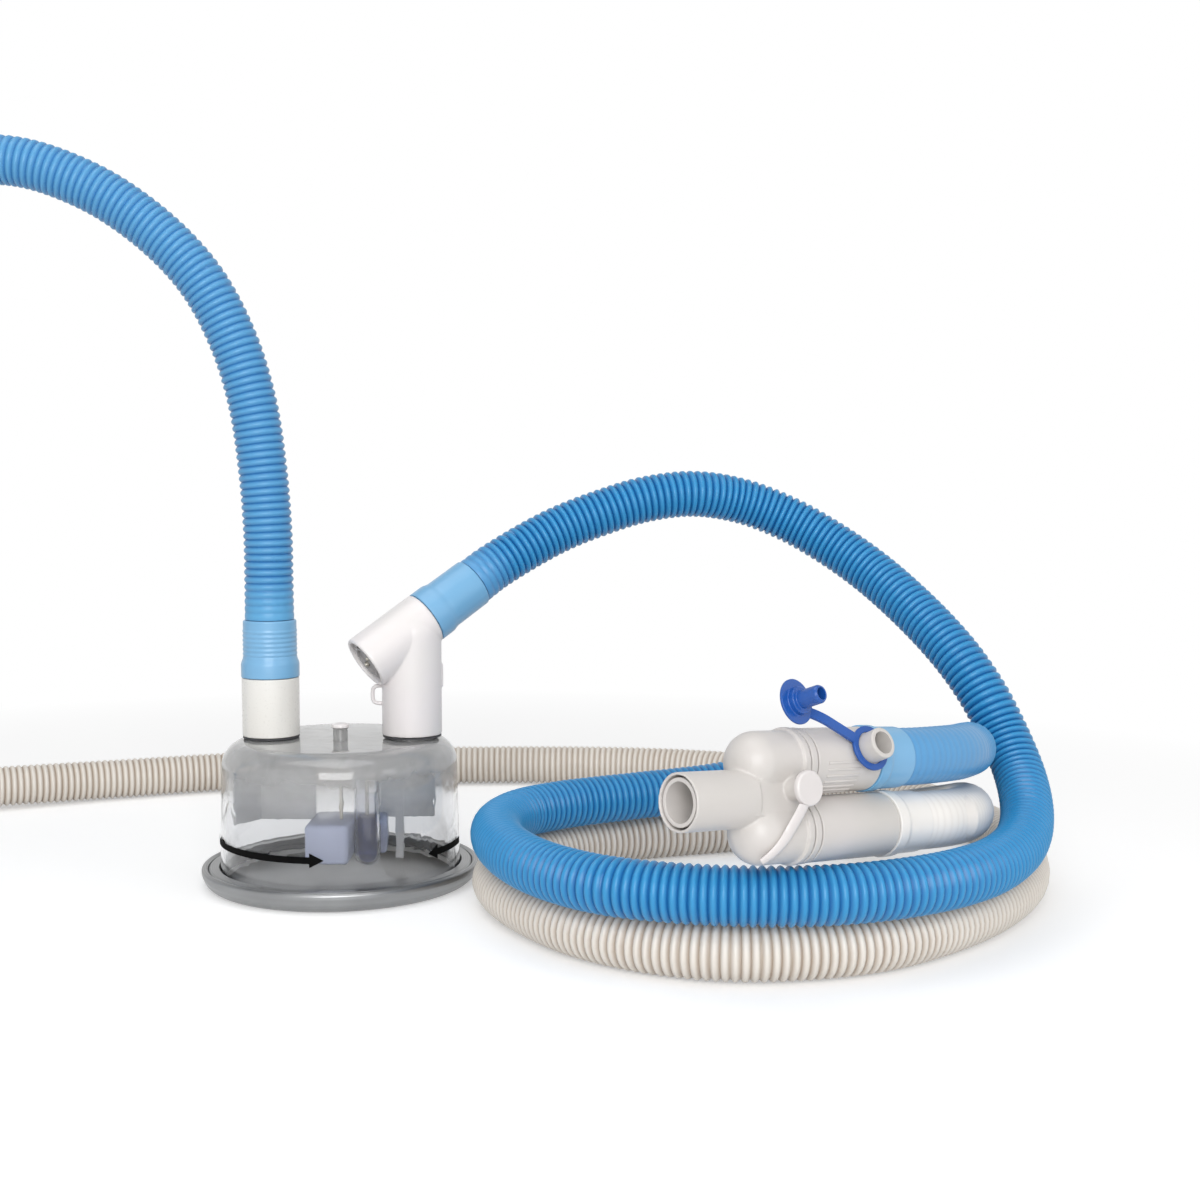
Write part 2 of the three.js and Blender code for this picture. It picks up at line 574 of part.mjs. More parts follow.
function elbowBody() {
  const leg = rod(LEG_RADIUS, LEG_BOTTOM, ELBOW_HEIGHT).translate(OUTLET_X, 0, 0);
  const arms = onArm(turned([
    [0, -ARM_BACK],
    [ARM_RADIUS, -ARM_BACK],
    [ARM_RADIUS, ARM_FRONT],
    [NOSE_RADIUS, ARM_FRONT],
    [NOSE_RADIUS, ARM_FRONT + NOSE_LENGTH],
    [0, ARM_FRONT + NOSE_LENGTH],
  ]));
  const knuckle = new THREE.SphereGeometry(LEG_RADIUS, SIDES, SIDES / 2);
  knuckle.translate(OUTLET_X, 0, ELBOW_HEIGHT - KNUCKLE_DROP);
  const armBore = onArm(rod(NOSE_BORE, ARM_WALL + SOCKET_DEPTH - ARM_BACK, ARM_FRONT + NOSE_LENGTH + 1));
  const legBore = rod(NOSE_BORE, socketTop - 1, ELBOW_HEIGHT).translate(OUTLET_X, 0, 0);
  const socket = rod(NOSE_RADIUS + GAP, LEG_BOTTOM - 1, socketTop).translate(OUTLET_X, 0, 0);
  const recess = onArm(rod(SOCKET_RADIUS, -ARM_BACK - 1, SOCKET_DEPTH - ARM_BACK));
  const groove = sealGroove(grooveHeight).translate(OUTLET_X, 0, 0);
  const cuffSeat = onArm(tube(2 * LEG_RADIUS, NOSE_RADIUS, ARM_FRONT, ARM_FRONT + NOSE_LENGTH));
  const shape = cut(join(leg, arms, knuckle), armBore, legBore, socket, recess, groove, cuffSeat);
  return part('elbow_body', shape, paleGrey);
}

const contactPlaces = [-CONTACT_OFFSET, CONTACT_OFFSET];
const capFront = SOCKET_DEPTH - ARM_BACK - GAP;

function elbowEndCap() {
  const plate = rod(SOCKET_RADIUS - GAP, capFront - CAP_THICKNESS, capFront);
  const hole = [CONTACT_RADIUS + GAP, capFront - CAP_THICKNESS - 1, capFront + 1, SMALL_SIDES];
  const holes = contactPlaces.map((x) => rod(...hole).translate(0, x, 0));
  return part('elbow_end_cap', cut(solid(plate), ...holes).transform(armMatrix()), paleGrey);
}

// The arm's placement, as the 16 numbers of its matrix.
function armMatrix() {
  const turn = new THREE.Quaternion().setFromUnitVectors(UP, arm);
  return new THREE.Matrix4().compose(elbow, turn, new THREE.Vector3(1, 1, 1)).toArray();
}

function heaterPins() {
  return contactPlaces.map((x, i) => {
    const pin = rod(CONTACT_RADIUS, capFront - CAP_THICKNESS - CONTACT_PROUD, capFront, SMALL_SIDES);
    return part(`heater_pin_${i + 1}`, solid(onArm(pin.translate(0, x, 0))), brass);
  });
}

// A loop that stands out from the leg and keeps the heater wire's plug in place.
function elbowClip() {
  const loop = new THREE.Shape();
  const right = OUTLET_X - LEG_RADIUS - GAP;
  const left = right - CLIP_REACH;
  const top = CLIP_BOTTOM + CLIP_HEIGHT;
  loop.moveTo(right, CLIP_BOTTOM);
  loop.lineTo(right, top);
  loop.lineTo(left + CLIP_CHAMFER, top);
  loop.lineTo(left, top - CLIP_CHAMFER);
  loop.lineTo(left, CLIP_BOTTOM + CLIP_CHAMFER);
  loop.lineTo(left + CLIP_CHAMFER, CLIP_BOTTOM);
  loop.closePath();
  const hole = new THREE.Path();
  hole.moveTo(right - CLIP_BAR, CLIP_BOTTOM + CLIP_BAR);
  hole.lineTo(left + CLIP_BAR, CLIP_BOTTOM + CLIP_BAR + 1);
  hole.lineTo(left + CLIP_BAR, top - CLIP_BAR - 1);
  hole.lineTo(right - CLIP_BAR, top - CLIP_BAR);
  hole.closePath();
  loop.holes.push(hole);
  const clip = new THREE.ExtrudeGeometry(loop, { depth: CLIP_DEPTH, bevelEnabled: false });
  return part('elbow_clip', solid(clip.rotateX(Math.PI / 2).translate(0, CLIP_DEPTH / 2, 0)), paleGrey);
}

function heatedLimbCuff() {
  const cuff = softCuff(HEATED_CUFF_LENGTH, WYE_CUFF_RADIUS, HEATED_CUFF_END);
  return part('heated_limb_cuff', solid(onArm(cuff.translate(0, 0, ARM_FRONT + GAP))), cuffBlue);
}

// ---- hoses ----
function ringSection() {
  const at = (radius, i) => {
    const angle = (2 * Math.PI * (i + 0.5)) / HOSE_SIDES;
    return new THREE.Vector2(radius * Math.cos(angle), radius * Math.sin(angle));
  };
  const sides = Array.from({ length: HOSE_SIDES }, (_, i) => i);
  const section = new THREE.Shape(sides.map((i) => at(HOSE_RADIUS, i)));
  section.holes.push(new THREE.Path(sides.map((i) => at(HOSE_RADIUS - HOSE_WALL, i))));
  return section;
}

function hose(name, route, steps, material) {
  const path = new THREE.CatmullRomCurve3(route.map((p) => new THREE.Vector3(...p)));
  path.arcLengthDivisions = 2000;
  const shape = new THREE.ExtrudeGeometry(ringSection(), { steps, extrudePath: path, bevelEnabled: false });
  return part(name, solid(shape), material);
}

// The 22 mm cuff that pushes onto the ventilator, in line with the end of a hose's route.
function endCuff(name, route, material) {
  const end = new THREE.Vector3(...route.at(-1));
  const before = new THREE.Vector3(...route.at(-2));
  const axis = end.clone().sub(before).normalize();
  const shape = turned([
    [NOSE_RADIUS - CUFF_WALL, GAP],
    [HOSE_RADIUS, GAP],
    [END_CUFF_RADIUS, END_CUFF_SHOULDER],
    [END_CUFF_RADIUS, END_CUFF_LENGTH],
    [NOSE_RADIUS + GAP, END_CUFF_LENGTH],
    [NOSE_RADIUS + GAP, END_CUFF_LENGTH - END_SOCKET_DEPTH],
    [NOSE_RADIUS - CUFF_WALL, END_CUFF_LENGTH - END_SOCKET_DEPTH - 1],
  ]);
  return part(name, solid(along(shape, end, axis)), material);
}

// ---- Y-piece ----
const wyeAxis = new THREE.Vector3(1, 0, 0);
const limbAt = (z, x = 0) => new THREE.Vector3(x, 0, z);
const onLimb = (geometry, z) => along(geometry, limbAt(z), wyeAxis);
const monitorAxis = new THREE.Vector3(0, -1, 0);
const lobeInner = LOBE_RADIUS - LOBE_WALL;
const lobeOuter = LOBE_RADIUS - LOBE_STEP;
const spigotRadius = lobeInner - GAP;
const shoulder = SLEEVE_LENGTH + GAP;

function wyeFrontBody() {
  const patient = onLimb(rod(PATIENT_RADIUS, 0, PATIENT_LENGTH), 0);
  const lobe = [
    [0, LOBE_FRONT],
    ...round(lobeOuter - LOBE_ROUND, LOBE_FRONT + LOBE_ROUND, LOBE_ROUND, -90, 0, 5),
    [lobeOuter, LOBE_BACK - COLLAR_LENGTH],
    [LOBE_RADIUS, LOBE_BACK - COLLAR_LENGTH],
    [LOBE_RADIUS, LOBE_BACK],
    [0, LOBE_BACK],
  ];
  const lobes = [1, -1].map((side) => onLimb(turned(lobe), side * LIMB_HALF_SPACING));
  const web = box((LOBE_FRONT + WEB_START + LOBE_BACK) / 2, 0, -LIMB_HALF_SPACING / 2,
    LOBE_BACK - LOBE_FRONT - WEB_START, 2 * (LOBE_RADIUS - WEB_INSET), LIMB_HALF_SPACING);
  const onMonitor = (geometry) => along(geometry, limbAt(MONITOR_Z, MONITOR_X), monitorAxis);
  const stub = onMonitor(rod(MONITOR_RADIUS, 0, MONITOR_MOUTH, SMALL_SIDES));
  const front = LOBE_FRONT + LOBE_WALL;
  const hollow = [
    [0, front],
    ...round(lobeInner - LOBE_ROUND + 1, front + LOBE_ROUND - 1, LOBE_ROUND - 1, -90, 0, 5),
    [lobeInner, LOBE_BACK + 1],
    [0, LOBE_BACK + 1],
  ];
  const hollows = [1, -1].map((side) => onLimb(turned(hollow), side * LIMB_HALF_SPACING));
  const port = onLimb(rod(PATIENT_BORE, -1, shoulder), 0);
  const throat = onLimb(rod(THROAT_RADIUS, shoulder - 1, LOBE_FRONT + THROAT_DEPTH), 0);
  const monitorBore = onMonitor(rod(MONITOR_BORE, 4, MONITOR_MOUTH + 1, SMALL_SIDES));
  const shape = cut(join(patient, ...lobes, web, stub), ...hollows, port, throat, monitorBore);
  return part('wye_front_body', shape, paleGrey);
}

function wyeInnerSleeve() {
  const profile = [
    [SLEEVE_BORE, 0.6],
    [SLEEVE_RADIUS, 0.6],
    [SLEEVE_RADIUS, SLEEVE_LENGTH - SLEEVE_FLANGE],
    [PATIENT_BORE - GAP, SLEEVE_LENGTH - SLEEVE_FLANGE],
    [PATIENT_BORE - GAP, SLEEVE_LENGTH],
    [SLEEVE_BORE, SLEEVE_LENGTH],
  ];
  return part('wye_inner_sleeve', solid(onLimb(turned(profile), 0)), paleGrey);
}

const ringBack = LOBE_BACK + GAP + RING_LENGTH;
const limbFront = ringBack + GAP;

function wyeRing(name, z) {
  return part(name, solid(onLimb(tube(RING_RADIUS, lobeInner, LOBE_BACK + GAP, ringBack), z)), paleGrey);
}

function limbTube(end) {
  return turned([
    [NOSE_BORE, limbFront - LIMB_SPIGOT],
    [spigotRadius, limbFront - LIMB_SPIGOT],
    [spigotRadius, limbFront],
    [LIMB_RADIUS, limbFront],
    [LIMB_RADIUS, end],
    [NOSE_RADIUS, end],
    [NOSE_RADIUS, end + NOSE_LENGTH],
    [NOSE_BORE, end + NOSE_LENGTH],
  ]);
}

function wyeLowerSleeve() {
  const shape = solid(onLimb(limbTube(LOWER_LIMB_END), -LIMB_HALF_SPACING));
  return part('wye_lower_sleeve', shape, paleGrey);
}

const probeBase = limbAt(LIMB_HALF_SPACING, PROBE_X);
const probeAxis = new THREE.Vector3(0, -Math.cos(rad(PROBE_TILT)), Math.sin(rad(PROBE_TILT)));
const onProbe = (geometry) => along(geometry, probeBase, probeAxis);

function wyeUpperSleeve() {
  const port = onProbe(rod(PROBE_RADIUS, NOSE_BORE + 0.6, PROBE_MOUTH));
  const bore = onProbe(rod(PROBE_BORE, 4, PROBE_MOUTH + 1));
  const shape = solid(onLimb(limbTube(UPPER_LIMB_END), LIMB_HALF_SPACING)).add(solid(port));
  return part('wye_upper_sleeve', cut(shape, bore), paleGrey);
}

function wyeCuff(name, z, from, material) {
  const cuff = softCuff(WYE_CUFF_LENGTH, WYE_CUFF_RADIUS, WYE_CUFF_END);
  return part(name, solid(onLimb(cuff.translate(0, 0, from + GAP), z)), material);
}

// The probe cap's hinge is the bend of its strap: beside the port, on the side that the strap leaves.
const strapWay = new THREE.Vector3(-1, 0, 0).applyAxisAngle(probeAxis, rad(PROBE_STRAP_TURN));
const capSeat = PROBE_MOUTH + GAP + PROBE_COLLAR_HEIGHT;
const probeHinge = probeBase.clone()
  .addScaledVector(probeAxis, capSeat - PROBE_HINGE_DROP)
  .addScaledVector(strapWay, PROBE_HINGE_REACH);
const probeHingeAxis = strapWay.clone().cross(probeAxis);

function probeCap() {
  const profile = [
    [0, -PROBE_CAP_THICKNESS],
    [PROBE_CAP_RADIUS - 1.2, -PROBE_CAP_THICKNESS],
    [PROBE_CAP_RADIUS, -PROBE_CAP_THICKNESS / 2],
    [PROBE_CAP_RADIUS, 0],
    [PROBE_COLLAR_RADIUS, 0],
    [PROBE_COLLAR_RADIUS, PROBE_COLLAR_HEIGHT],
    [PROBE_PLUG_RADIUS, PROBE_COLLAR_HEIGHT],
    [PROBE_PLUG_RADIUS, PROBE_PLUG_LENGTH - 1],
    [PROBE_PLUG_RADIUS - 0.6, PROBE_PLUG_LENGTH],
    [PROBE_PLUG_BORE, PROBE_PLUG_LENGTH],
    [PROBE_PLUG_BORE, PROBE_PLUG_LENGTH / 2],
    [0, PROBE_PLUG_LENGTH / 2],
  ];
  const closed = probeBase.clone().addScaledVector(probeAxis, capSeat);
  const cap = along(turned(profile), closed.sub(probeHinge), probeAxis.clone().negate());
  const mesh = part('probe_cap', solid(cap), capBlue);
  mesh.position.copy(probeHinge);
  mesh.quaternion.setFromAxisAngle(probeHingeAxis, -rad(PROBE_CAP_OPEN));
  return mesh;
}

// Strap and eye: +Z along the port, +X along the strap.
function probeCapStrap() {
  const bore = PROBE_RADIUS + GAP;
  const reach = PROBE_HINGE_REACH + strapPastHinge();
  const eye = tube(bore + EYE_WIDTH, bore, 0, STRAP_THICKNESS);
  const strap = box((bore + 1 + reach) / 2, 0, 0, reach - bore - 1, STRAP_WIDTH, STRAP_THICKNESS);
  const mesh = part('probe_cap_strap', join(eye, strap), capBlue);
  const side = probeAxis.clone().cross(strapWay);
  mesh.quaternion.setFromRotationMatrix(new THREE.Matrix4().makeBasis(strapWay, side, probeAxis));
  mesh.position.copy(probeBase).addScaledVector(probeAxis, EYE_LEVEL);
  return mesh;
}

// How far the open cap's nearest rim lies past the hinge, along the strap.
function strapPastHinge() {
  const turn = rad(PROBE_CAP_OPEN);
  const nearRim = PROBE_HINGE_REACH - PROBE_CAP_RADIUS;
  return -nearRim * Math.cos(turn) + PROBE_HINGE_DROP * Math.sin(turn) - GAP;
}

function monitorCap() {
  const profile = [
    [0, -MONITOR_PLUG_LENGTH],
    [MONITOR_PLUG_RADIUS, -MONITOR_PLUG_LENGTH],
    [MONITOR_PLUG_RADIUS, 0],
    [MONITOR_CAP_RADIUS, 0],
    [MONITOR_CAP_RADIUS, MONITOR_CAP_THICKNESS - 0.6],
    [MONITOR_CAP_RADIUS - 0.6, MONITOR_CAP_THICKNESS],
    [0, MONITOR_CAP_THICKNESS],
  ];
  const seat = limbAt(MONITOR_Z, MONITOR_X).setY(-MONITOR_MOUTH - GAP);
  return part('monitor_cap', solid(along(turned(profile, SMALL_SIDES), seat, monitorAxis)), paleGrey);
}

// A strap that wraps the lower lobe's front on a helix, from under the monitor cap to its anchor.
function monitorCapStrap() {
  const steps = MONITOR_STRAP_STEPS;
  const radius = lobeOuter + GAP + STRAP_THICKNESS / 2;
  const lean = rad(MONITOR_STRAP_LEAN);
  const middle = limbAt(-LIMB_HALF_SPACING);
  const corners = Array.from({ length: steps + 1 }, (_, i) => i / steps).flatMap((t) => {
    const angle = rad(MONITOR_STRAP_FROM - MONITOR_STRAP_TURN * t);
    const out = new THREE.Vector3(0, -Math.cos(angle), Math.sin(angle));
    const place = middle.clone().addScaledVector(out, radius)
      .setX(MONITOR_X - MONITOR_STRAP_SHIFT - MONITOR_STRAP_RUN * t);
    const sideways = wyeAxis.clone().multiplyScalar(Math.cos(lean))
      .addScaledVector(wyeAxis.clone().cross(out), Math.sin(lean));
    return [[1, 1], [1, -1], [-1, -1], [-1, 1]].map(([s, o]) => place.clone()
      .addScaledVector(sideways, (s * STRAP_WIDTH) / 2).addScaledVector(out, (o * STRAP_THICKNESS) / 2));
  });
  const faces = [[0, 1, 2], [0, 2, 3]];
  for (let i = 0; i < steps; i += 1) {
    for (let k = 0; k < 4; k += 1) {
      const [a, b] = [4 * i + k, 4 * i + ((k + 1) % 4)];
      faces.push([a, a + 4, b], [b, a + 4, b + 4]);
    }
  }
  const last = 4 * steps;
  faces.push([last, last + 2, last + 1], [last, last + 3, last + 2]);
  const geometry = new THREE.BufferGeometry().setFromPoints(corners).setIndex(faces.flat());
  return part('monitor_cap_strap', solid(geometry), paleGrey);
}

// ---- assembly ----
const group = new THREE.Group();
group.add(
  basePlate(), baseSeal(), clampRing(), domeShell(), feedPlug(), fillTube(), primaryFloat(),
  primaryValvePin(), primaryValveSeat(), secondaryFloat(), secondaryValvePin(), secondaryValveSeat(),
  inletBaffle(), outletBaffle(),
);
group.add(inletCuff(), ringSeal('inlet_seal', INLET_X, grooveHeight), dryLineCuff());
group.add(
  elbowBody(), ringSeal('elbow_seal', OUTLET_X, grooveHeight), elbowEndCap(), ...heaterPins(), elbowClip(),
  heatedLimbCuff(),
);
group.add(
  hose('dry_line', DRY_ROUTE, DRY_STEPS, hoseBlue),
  endCuff('dry_line_end_cuff', DRY_ROUTE, cuffBlue),
  hose('heated_limb', HEATED_ROUTE, HEATED_STEPS, hoseBlue),
  hose('expiratory_limb', EXPIRATORY_ROUTE, EXPIRATORY_STEPS, cream),
  endCuff('expiratory_end_cuff', EXPIRATORY_ROUTE, cream),
);

const wye = new THREE.Group();
wye.position.set(...WYE_PLACE);
wye.rotation.set(...WYE_TURN.map(rad), 'ZYX');
wye.add(
  wyeFrontBody(), wyeInnerSleeve(),
  wyeRing('wye_upper_ring', LIMB_HALF_SPACING), wyeRing('wye_lower_ring', -LIMB_HALF_SPACING),
  wyeUpperSleeve(), wyeLowerSleeve(),
  wyeCuff('wye_blue_cuff', LIMB_HALF_SPACING, UPPER_LIMB_END, cuffBlue),
  wyeCuff('wye_white_cuff', -LIMB_HALF_SPACING, LOWER_LIMB_END, cream),
  probeCap(), probeCapStrap(), monitorCap(), monitorCapStrap(),
);
group.add(wye);

export default group;
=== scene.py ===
# Heated-humidifier breathing circuit: clear water chamber, dry limb, heated limb, Y-piece and
# expiratory limb. Meshes are in metres; sizes are in millimetres, and MM turns them into metres.
import math

import bmesh
import bpy
from mathutils import Matrix, Vector


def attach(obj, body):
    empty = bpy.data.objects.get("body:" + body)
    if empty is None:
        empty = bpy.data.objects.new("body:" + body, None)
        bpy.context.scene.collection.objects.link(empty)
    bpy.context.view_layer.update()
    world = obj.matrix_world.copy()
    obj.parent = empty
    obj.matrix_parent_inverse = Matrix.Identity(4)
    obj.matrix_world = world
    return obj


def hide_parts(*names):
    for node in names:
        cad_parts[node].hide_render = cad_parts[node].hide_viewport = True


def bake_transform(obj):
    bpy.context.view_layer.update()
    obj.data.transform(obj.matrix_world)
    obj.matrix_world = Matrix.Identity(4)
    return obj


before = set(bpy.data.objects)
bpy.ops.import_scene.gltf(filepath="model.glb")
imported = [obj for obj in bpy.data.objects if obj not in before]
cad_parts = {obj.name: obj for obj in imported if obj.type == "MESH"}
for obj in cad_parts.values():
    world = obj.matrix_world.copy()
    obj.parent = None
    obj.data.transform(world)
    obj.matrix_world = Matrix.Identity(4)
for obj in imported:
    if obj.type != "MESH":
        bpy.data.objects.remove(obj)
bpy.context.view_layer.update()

# ---- Camera ----
# A product view from 0.8 m in front, 0.2 m above the table, with the lens tilted a little down
# and a field of view of 40 degrees.
camera = bpy.data.objects.new("camera", bpy.data.cameras.new("camera"))
camera.data.sensor_width = 36
camera.data.lens = 49.35
camera.location = (0.126, -0.790, 0.199)
camera.rotation_euler = (math.radians(85.5), 0, 0)
scene = bpy.context.scene
scene.collection.objects.link(camera)
scene.camera = camera
scene.view_settings.view_transform = "Standard"

# ---- Studio: floor, backdrop and lamps ----
# A white sweep with a large soft bank in front, and weaker ones overhead and at one side. The
# floor is matt, keeps the object's shadow and runs into the white backdrop.


def add(tree, kind, sockets=None, **settings):
    """A node with its settings, and with its sockets set or linked by name."""
    made = tree.nodes.new(kind)
    for key, value in settings.items():
        setattr(made, key, value)
    for key, value in (sockets or {}).items():
        socket = made.inputs[key]
        if isinstance(value, bpy.types.NodeSocket):
            tree.links.new(value, socket)
        else:
            socket.default_value = value
    return made


def reckon(tree, kind, *values):
    """What a Math node makes of one, two or three values."""
    return add(tree, "ShaderNodeMath", dict(enumerate(values)), operation=kind).outputs[0]


def bank(name, place, aim, width, height, power):
    """A soft rectangular lamp that looks at its aim."""
    lamp = bpy.data.lights.new(name, "AREA")
    lamp.shape = "RECTANGLE"
    lamp.size, lamp.size_y, lamp.energy = width, height, power
    holder = bpy.data.objects.new(name, lamp)
    holder.location = place
    holder.rotation_euler = (Vector(aim) - Vector(place)).to_track_quat("-Z", "Y").to_euler()
    scene.collection.objects.link(holder)


bank("bank_front", (0.12, -1.5, 0.62), (0.1, 0, 0.08), 0.9, 0.9, 14.5)
bank("bank_above", (-0.05, -0.2, 1.25), (0.1, 0, 0), 1.1, 0.8, 4.5)
bank("bank_right", (1.3, -0.8, 0.6), (0.1, 0, 0.05), 0.35, 0.9, 1.4)

SKY_LIGHT, FLOOR_GLOW, FLOOR_TONE = 0.42, 0.36, 0.80
FADE_FROM, FADE_TO = 0.40, 0.70
world = bpy.data.worlds.new("studio")
scene.world = world
world.use_nodes = True
sky = world.node_tree
rays = add(sky, "ShaderNodeLightPath").outputs
direction = add(sky, "ShaderNodeTexCoord").outputs["Generated"]
height = add(sky, "ShaderNodeSeparateXYZ", {"Vector": direction}).outputs["Z"]
ceiling = add(sky, "ShaderNodeMapRange", {
    "Value": height, "From Min": 0.3, "From Max": 0.8, "To Min": 1.0, "To Max": 0.45}).outputs[0]
seen = reckon(sky, "MAXIMUM", rays["Is Glossy Ray"], rays["Is Transmission Ray"])
strength = add(sky, "ShaderNodeMix", {"Factor": seen, 2: SKY_LIGHT, 3: ceiling}).outputs[0]
strength = add(sky, "ShaderNodeMix", {
    "Factor": rays["Is Camera Ray"], 2: strength, 3: 1.0}).outputs[0]
sky.links.new(strength, sky.nodes["Background"].inputs["Strength"])
sky.nodes["Background"].inputs["Color"].default_value = (1, 1, 1, 1)

sweep = bpy.data.materials.new("white_sweep")
sweep.use_nodes = True
sheet = sweep.node_tree
sheet.nodes.remove(sheet.nodes["Principled BSDF"])
rays = add(sheet, "ShaderNodeLightPath").outputs
seen = reckon(sheet, "MAXIMUM", rays["Is Glossy Ray"], rays["Is Transmission Ray"])
seen = reckon(sheet, "MAXIMUM", seen, rays["Is Camera Ray"])
glow = reckon(sheet, "MULTIPLY", seen, FLOOR_GLOW)
matt = add(sheet, "ShaderNodeBsdfDiffuse", {
    "Color": (FLOOR_TONE, FLOOR_TONE, FLOOR_TONE, 1)}).outputs[0]
lift = add(sheet, "ShaderNodeEmission", {"Strength": glow}).outputs[0]
both = add(sheet, "ShaderNodeAddShader", {0: matt, 1: lift}).outputs[0]
away = add(sheet, "ShaderNodeVectorMath", {
    0: add(sheet, "ShaderNodeTexCoord").outputs["Object"]}, operation="LENGTH").outputs["Value"]
far = add(sheet, "ShaderNodeMapRange", {
    "Value": away, "From Min": FADE_FROM, "From Max": FADE_TO}).outputs[0]
far = reckon(sheet, "MULTIPLY", far, seen)
white = add(sheet, "ShaderNodeEmission", {"Strength": 1.0}).outputs[0]
both = add(sheet, "ShaderNodeMixShader", {0: far, 1: both, 2: white}).outputs[0]
sheet.links.new(both, sheet.nodes["Material Output"].inputs["Surface"])

floor = bpy.data.objects.new("floor", bpy.data.meshes.new("floor"))
floor.data.from_pydata([(-9, -4, 0), (9, -4, 0), (9, 14, 0), (-9, 14, 0)], [], [(0, 1, 2, 3)])
floor.data.materials.append(sweep)
scene.collection.objects.link(floor)

# ---- Base pan and clamp ring ----
# The pan is spun from aluminium sheet, 133 mm across, and conducts heat from the plate below it. A
# flat ring is pressed in over the dome's flange and holds it down on its seal.
MM = 0.001


def mesh_piece(name, points, faces):
    """A new piece from points in millimetres."""
    data = bpy.data.meshes.new(name)
    data.from_pydata([tuple(Vector(p) * MM) for p in points], [], faces)
    piece = bpy.data.objects.new(name, data)
    scene.collection.objects.link(piece)
    return piece


def smooth(piece, crease=40):
    """Smooth shading, with an edge wherever two faces meet more sharply than the crease."""
    piece.data.shade_smooth()
    piece.data.set_sharp_from_angle(angle=math.radians(crease))


def eased(profile, ease, closed):
    """A profile with each corner drawn as a small curve, with a support point on both sides."""
    points = [Vector(p) for p in profile]
    count = len(points)
    if not ease:
        return points
    drawn = []
    for i, corner in enumerate(points):
        if corner.x < 1e-6 or (not closed and i in (0, count - 1)):
            drawn.append(corner)
            continue
        back, on = points[i - 1] - corner, points[(i + 1) % count] - corner
        turn = back.normalized().dot(on.normalized())
        if turn < -0.96:
            drawn.append(corner)
            continue
        cut = min(ease, 0.3 * back.length, 0.3 * on.length)
        start, end = corner + back.normalized() * cut, corner + on.normalized() * cut
        drawn.append(corner + back.normalized() * cut * 1.5)
        for t in (0, 0.33, 0.67, 1):
            drawn.append(start * (1 - t) ** 2 + corner * 2 * t * (1 - t) + end * t * t)
        drawn.append(corner + on.normalized() * cut * 1.5)
    return drawn


def turned(name, profile, sides=96, place=Matrix(), ease=0.4):
    """A solid of revolution about +Z, from (radius, height) pairs, then put in its place."""
    closed = profile[0][0] > 0
    outline = eased(profile, ease, closed)
    points, rings = [], []
    for radius, level in outline:
        if radius < 1e-6:
            rings.append([len(points)])
            points.append((0, 0, level))
            continue
        rings.append(list(range(len(points), len(points) + sides)))
        for k in range(sides):
            angle = 2 * math.pi * k / sides
            points.append((radius * math.cos(angle), radius * math.sin(angle), level))
    faces = []
    pairs = list(zip(rings, rings[1:])) + ([(rings[-1], rings[0])] if closed else [])
    for low, high in pairs:
        for k in range(sides):
            ring = [low[k % len(low)], low[(k + 1) % len(low)],
                    high[(k + 1) % len(high)], high[k % len(high)]]
            ring = list(dict.fromkeys(ring))
            if len(ring) > 2:
                faces.append(ring)
    piece = mesh_piece(name, [place @ Vector(p) for p in points], faces)
    face_out(piece)
    smooth(piece)
    return piece


def face_out(piece, weld=0.0):
    """Merges points nearer than the weld, and turns every face outwards."""
    shell = bmesh.new()
    shell.from_mesh(piece.data)
    if weld:
        bmesh.ops.remove_doubles(shell, verts=shell.verts, dist=weld * MM)
    bmesh.ops.recalc_face_normals(shell, faces=shell.faces)
    if shell.calc_volume(signed=True) < 0:
        bmesh.ops.reverse_faces(shell, faces=shell.faces)
    shell.to_mesh(piece.data)
    shell.free()


def arc(r, z, radius, start, end, steps=8):
    """Points of a round on a profile, between two angles in degrees."""
    angles = [math.radians(start + (end - start) * i / steps) for i in range(steps + 1)]
    return [(r + radius * math.cos(a), z + radius * math.sin(a)) for a in angles]


def finish(piece, material, stands_for=(), body="root"):
    """Gives a piece its material, body and the node that it stands for."""
    piece.data.materials.clear()
    piece.data.materials.append(material)
    if body:
        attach(piece, body)
    if stands_for:
        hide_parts(*stands_for)
    return piece


def blank_finish(name):
    """A new material, its tree, its shader and the place on the piece that patterns follow."""
    material = bpy.data.materials.new(name)
    material.use_nodes = True
    tree = material.node_tree
    place = add(tree, "ShaderNodeTexCoord").outputs["Object"]
    return material, tree, tree.nodes["Principled BSDF"], place


def noise(tree, place, scale, detail, distortion=0.0):
    return add(tree, "ShaderNodeTexNoise", {
        "Vector": place, "Scale": scale, "Detail": detail, "Distortion": distortion}).outputs["Fac"]


def spread(tree, value, low, high, least=0.0, most=1.0, **settings):
    """A value between low and high, spread over least to most."""
    ends = {"From Min": low, "From Max": high, "To Min": least, "To Max": most}
    return add(tree, "ShaderNodeMapRange", {"Value": value, **ends}, **settings).outputs[0]


def two_tones(tree, amount, first, second):
    """Two colours mixed by an amount. A colour may be the outcome of an earlier mix."""
    a, b = [tone if isinstance(tone, bpy.types.NodeSocket) else (*tone, 1)
            for tone in (first, second)]
    mix = add(tree, "ShaderNodeMix", {"Factor": amount, "A": a, "B": b}, data_type="RGBA")
    return mix.outputs[2]


def dress(tree, shader, colour, rough, relief, strength, depth=0.0002):
    """Links a finish's patterns to its shader."""
    if colour:
        tree.links.new(colour, shader.inputs["Base Color"])
    if rough:
        tree.links.new(rough, shader.inputs["Roughness"])
    bump = add(tree, "ShaderNodeBump", {
        "Height": relief, "Strength": strength, "Distance": depth}).outputs[0]
    tree.links.new(bump, shader.inputs["Normal"])


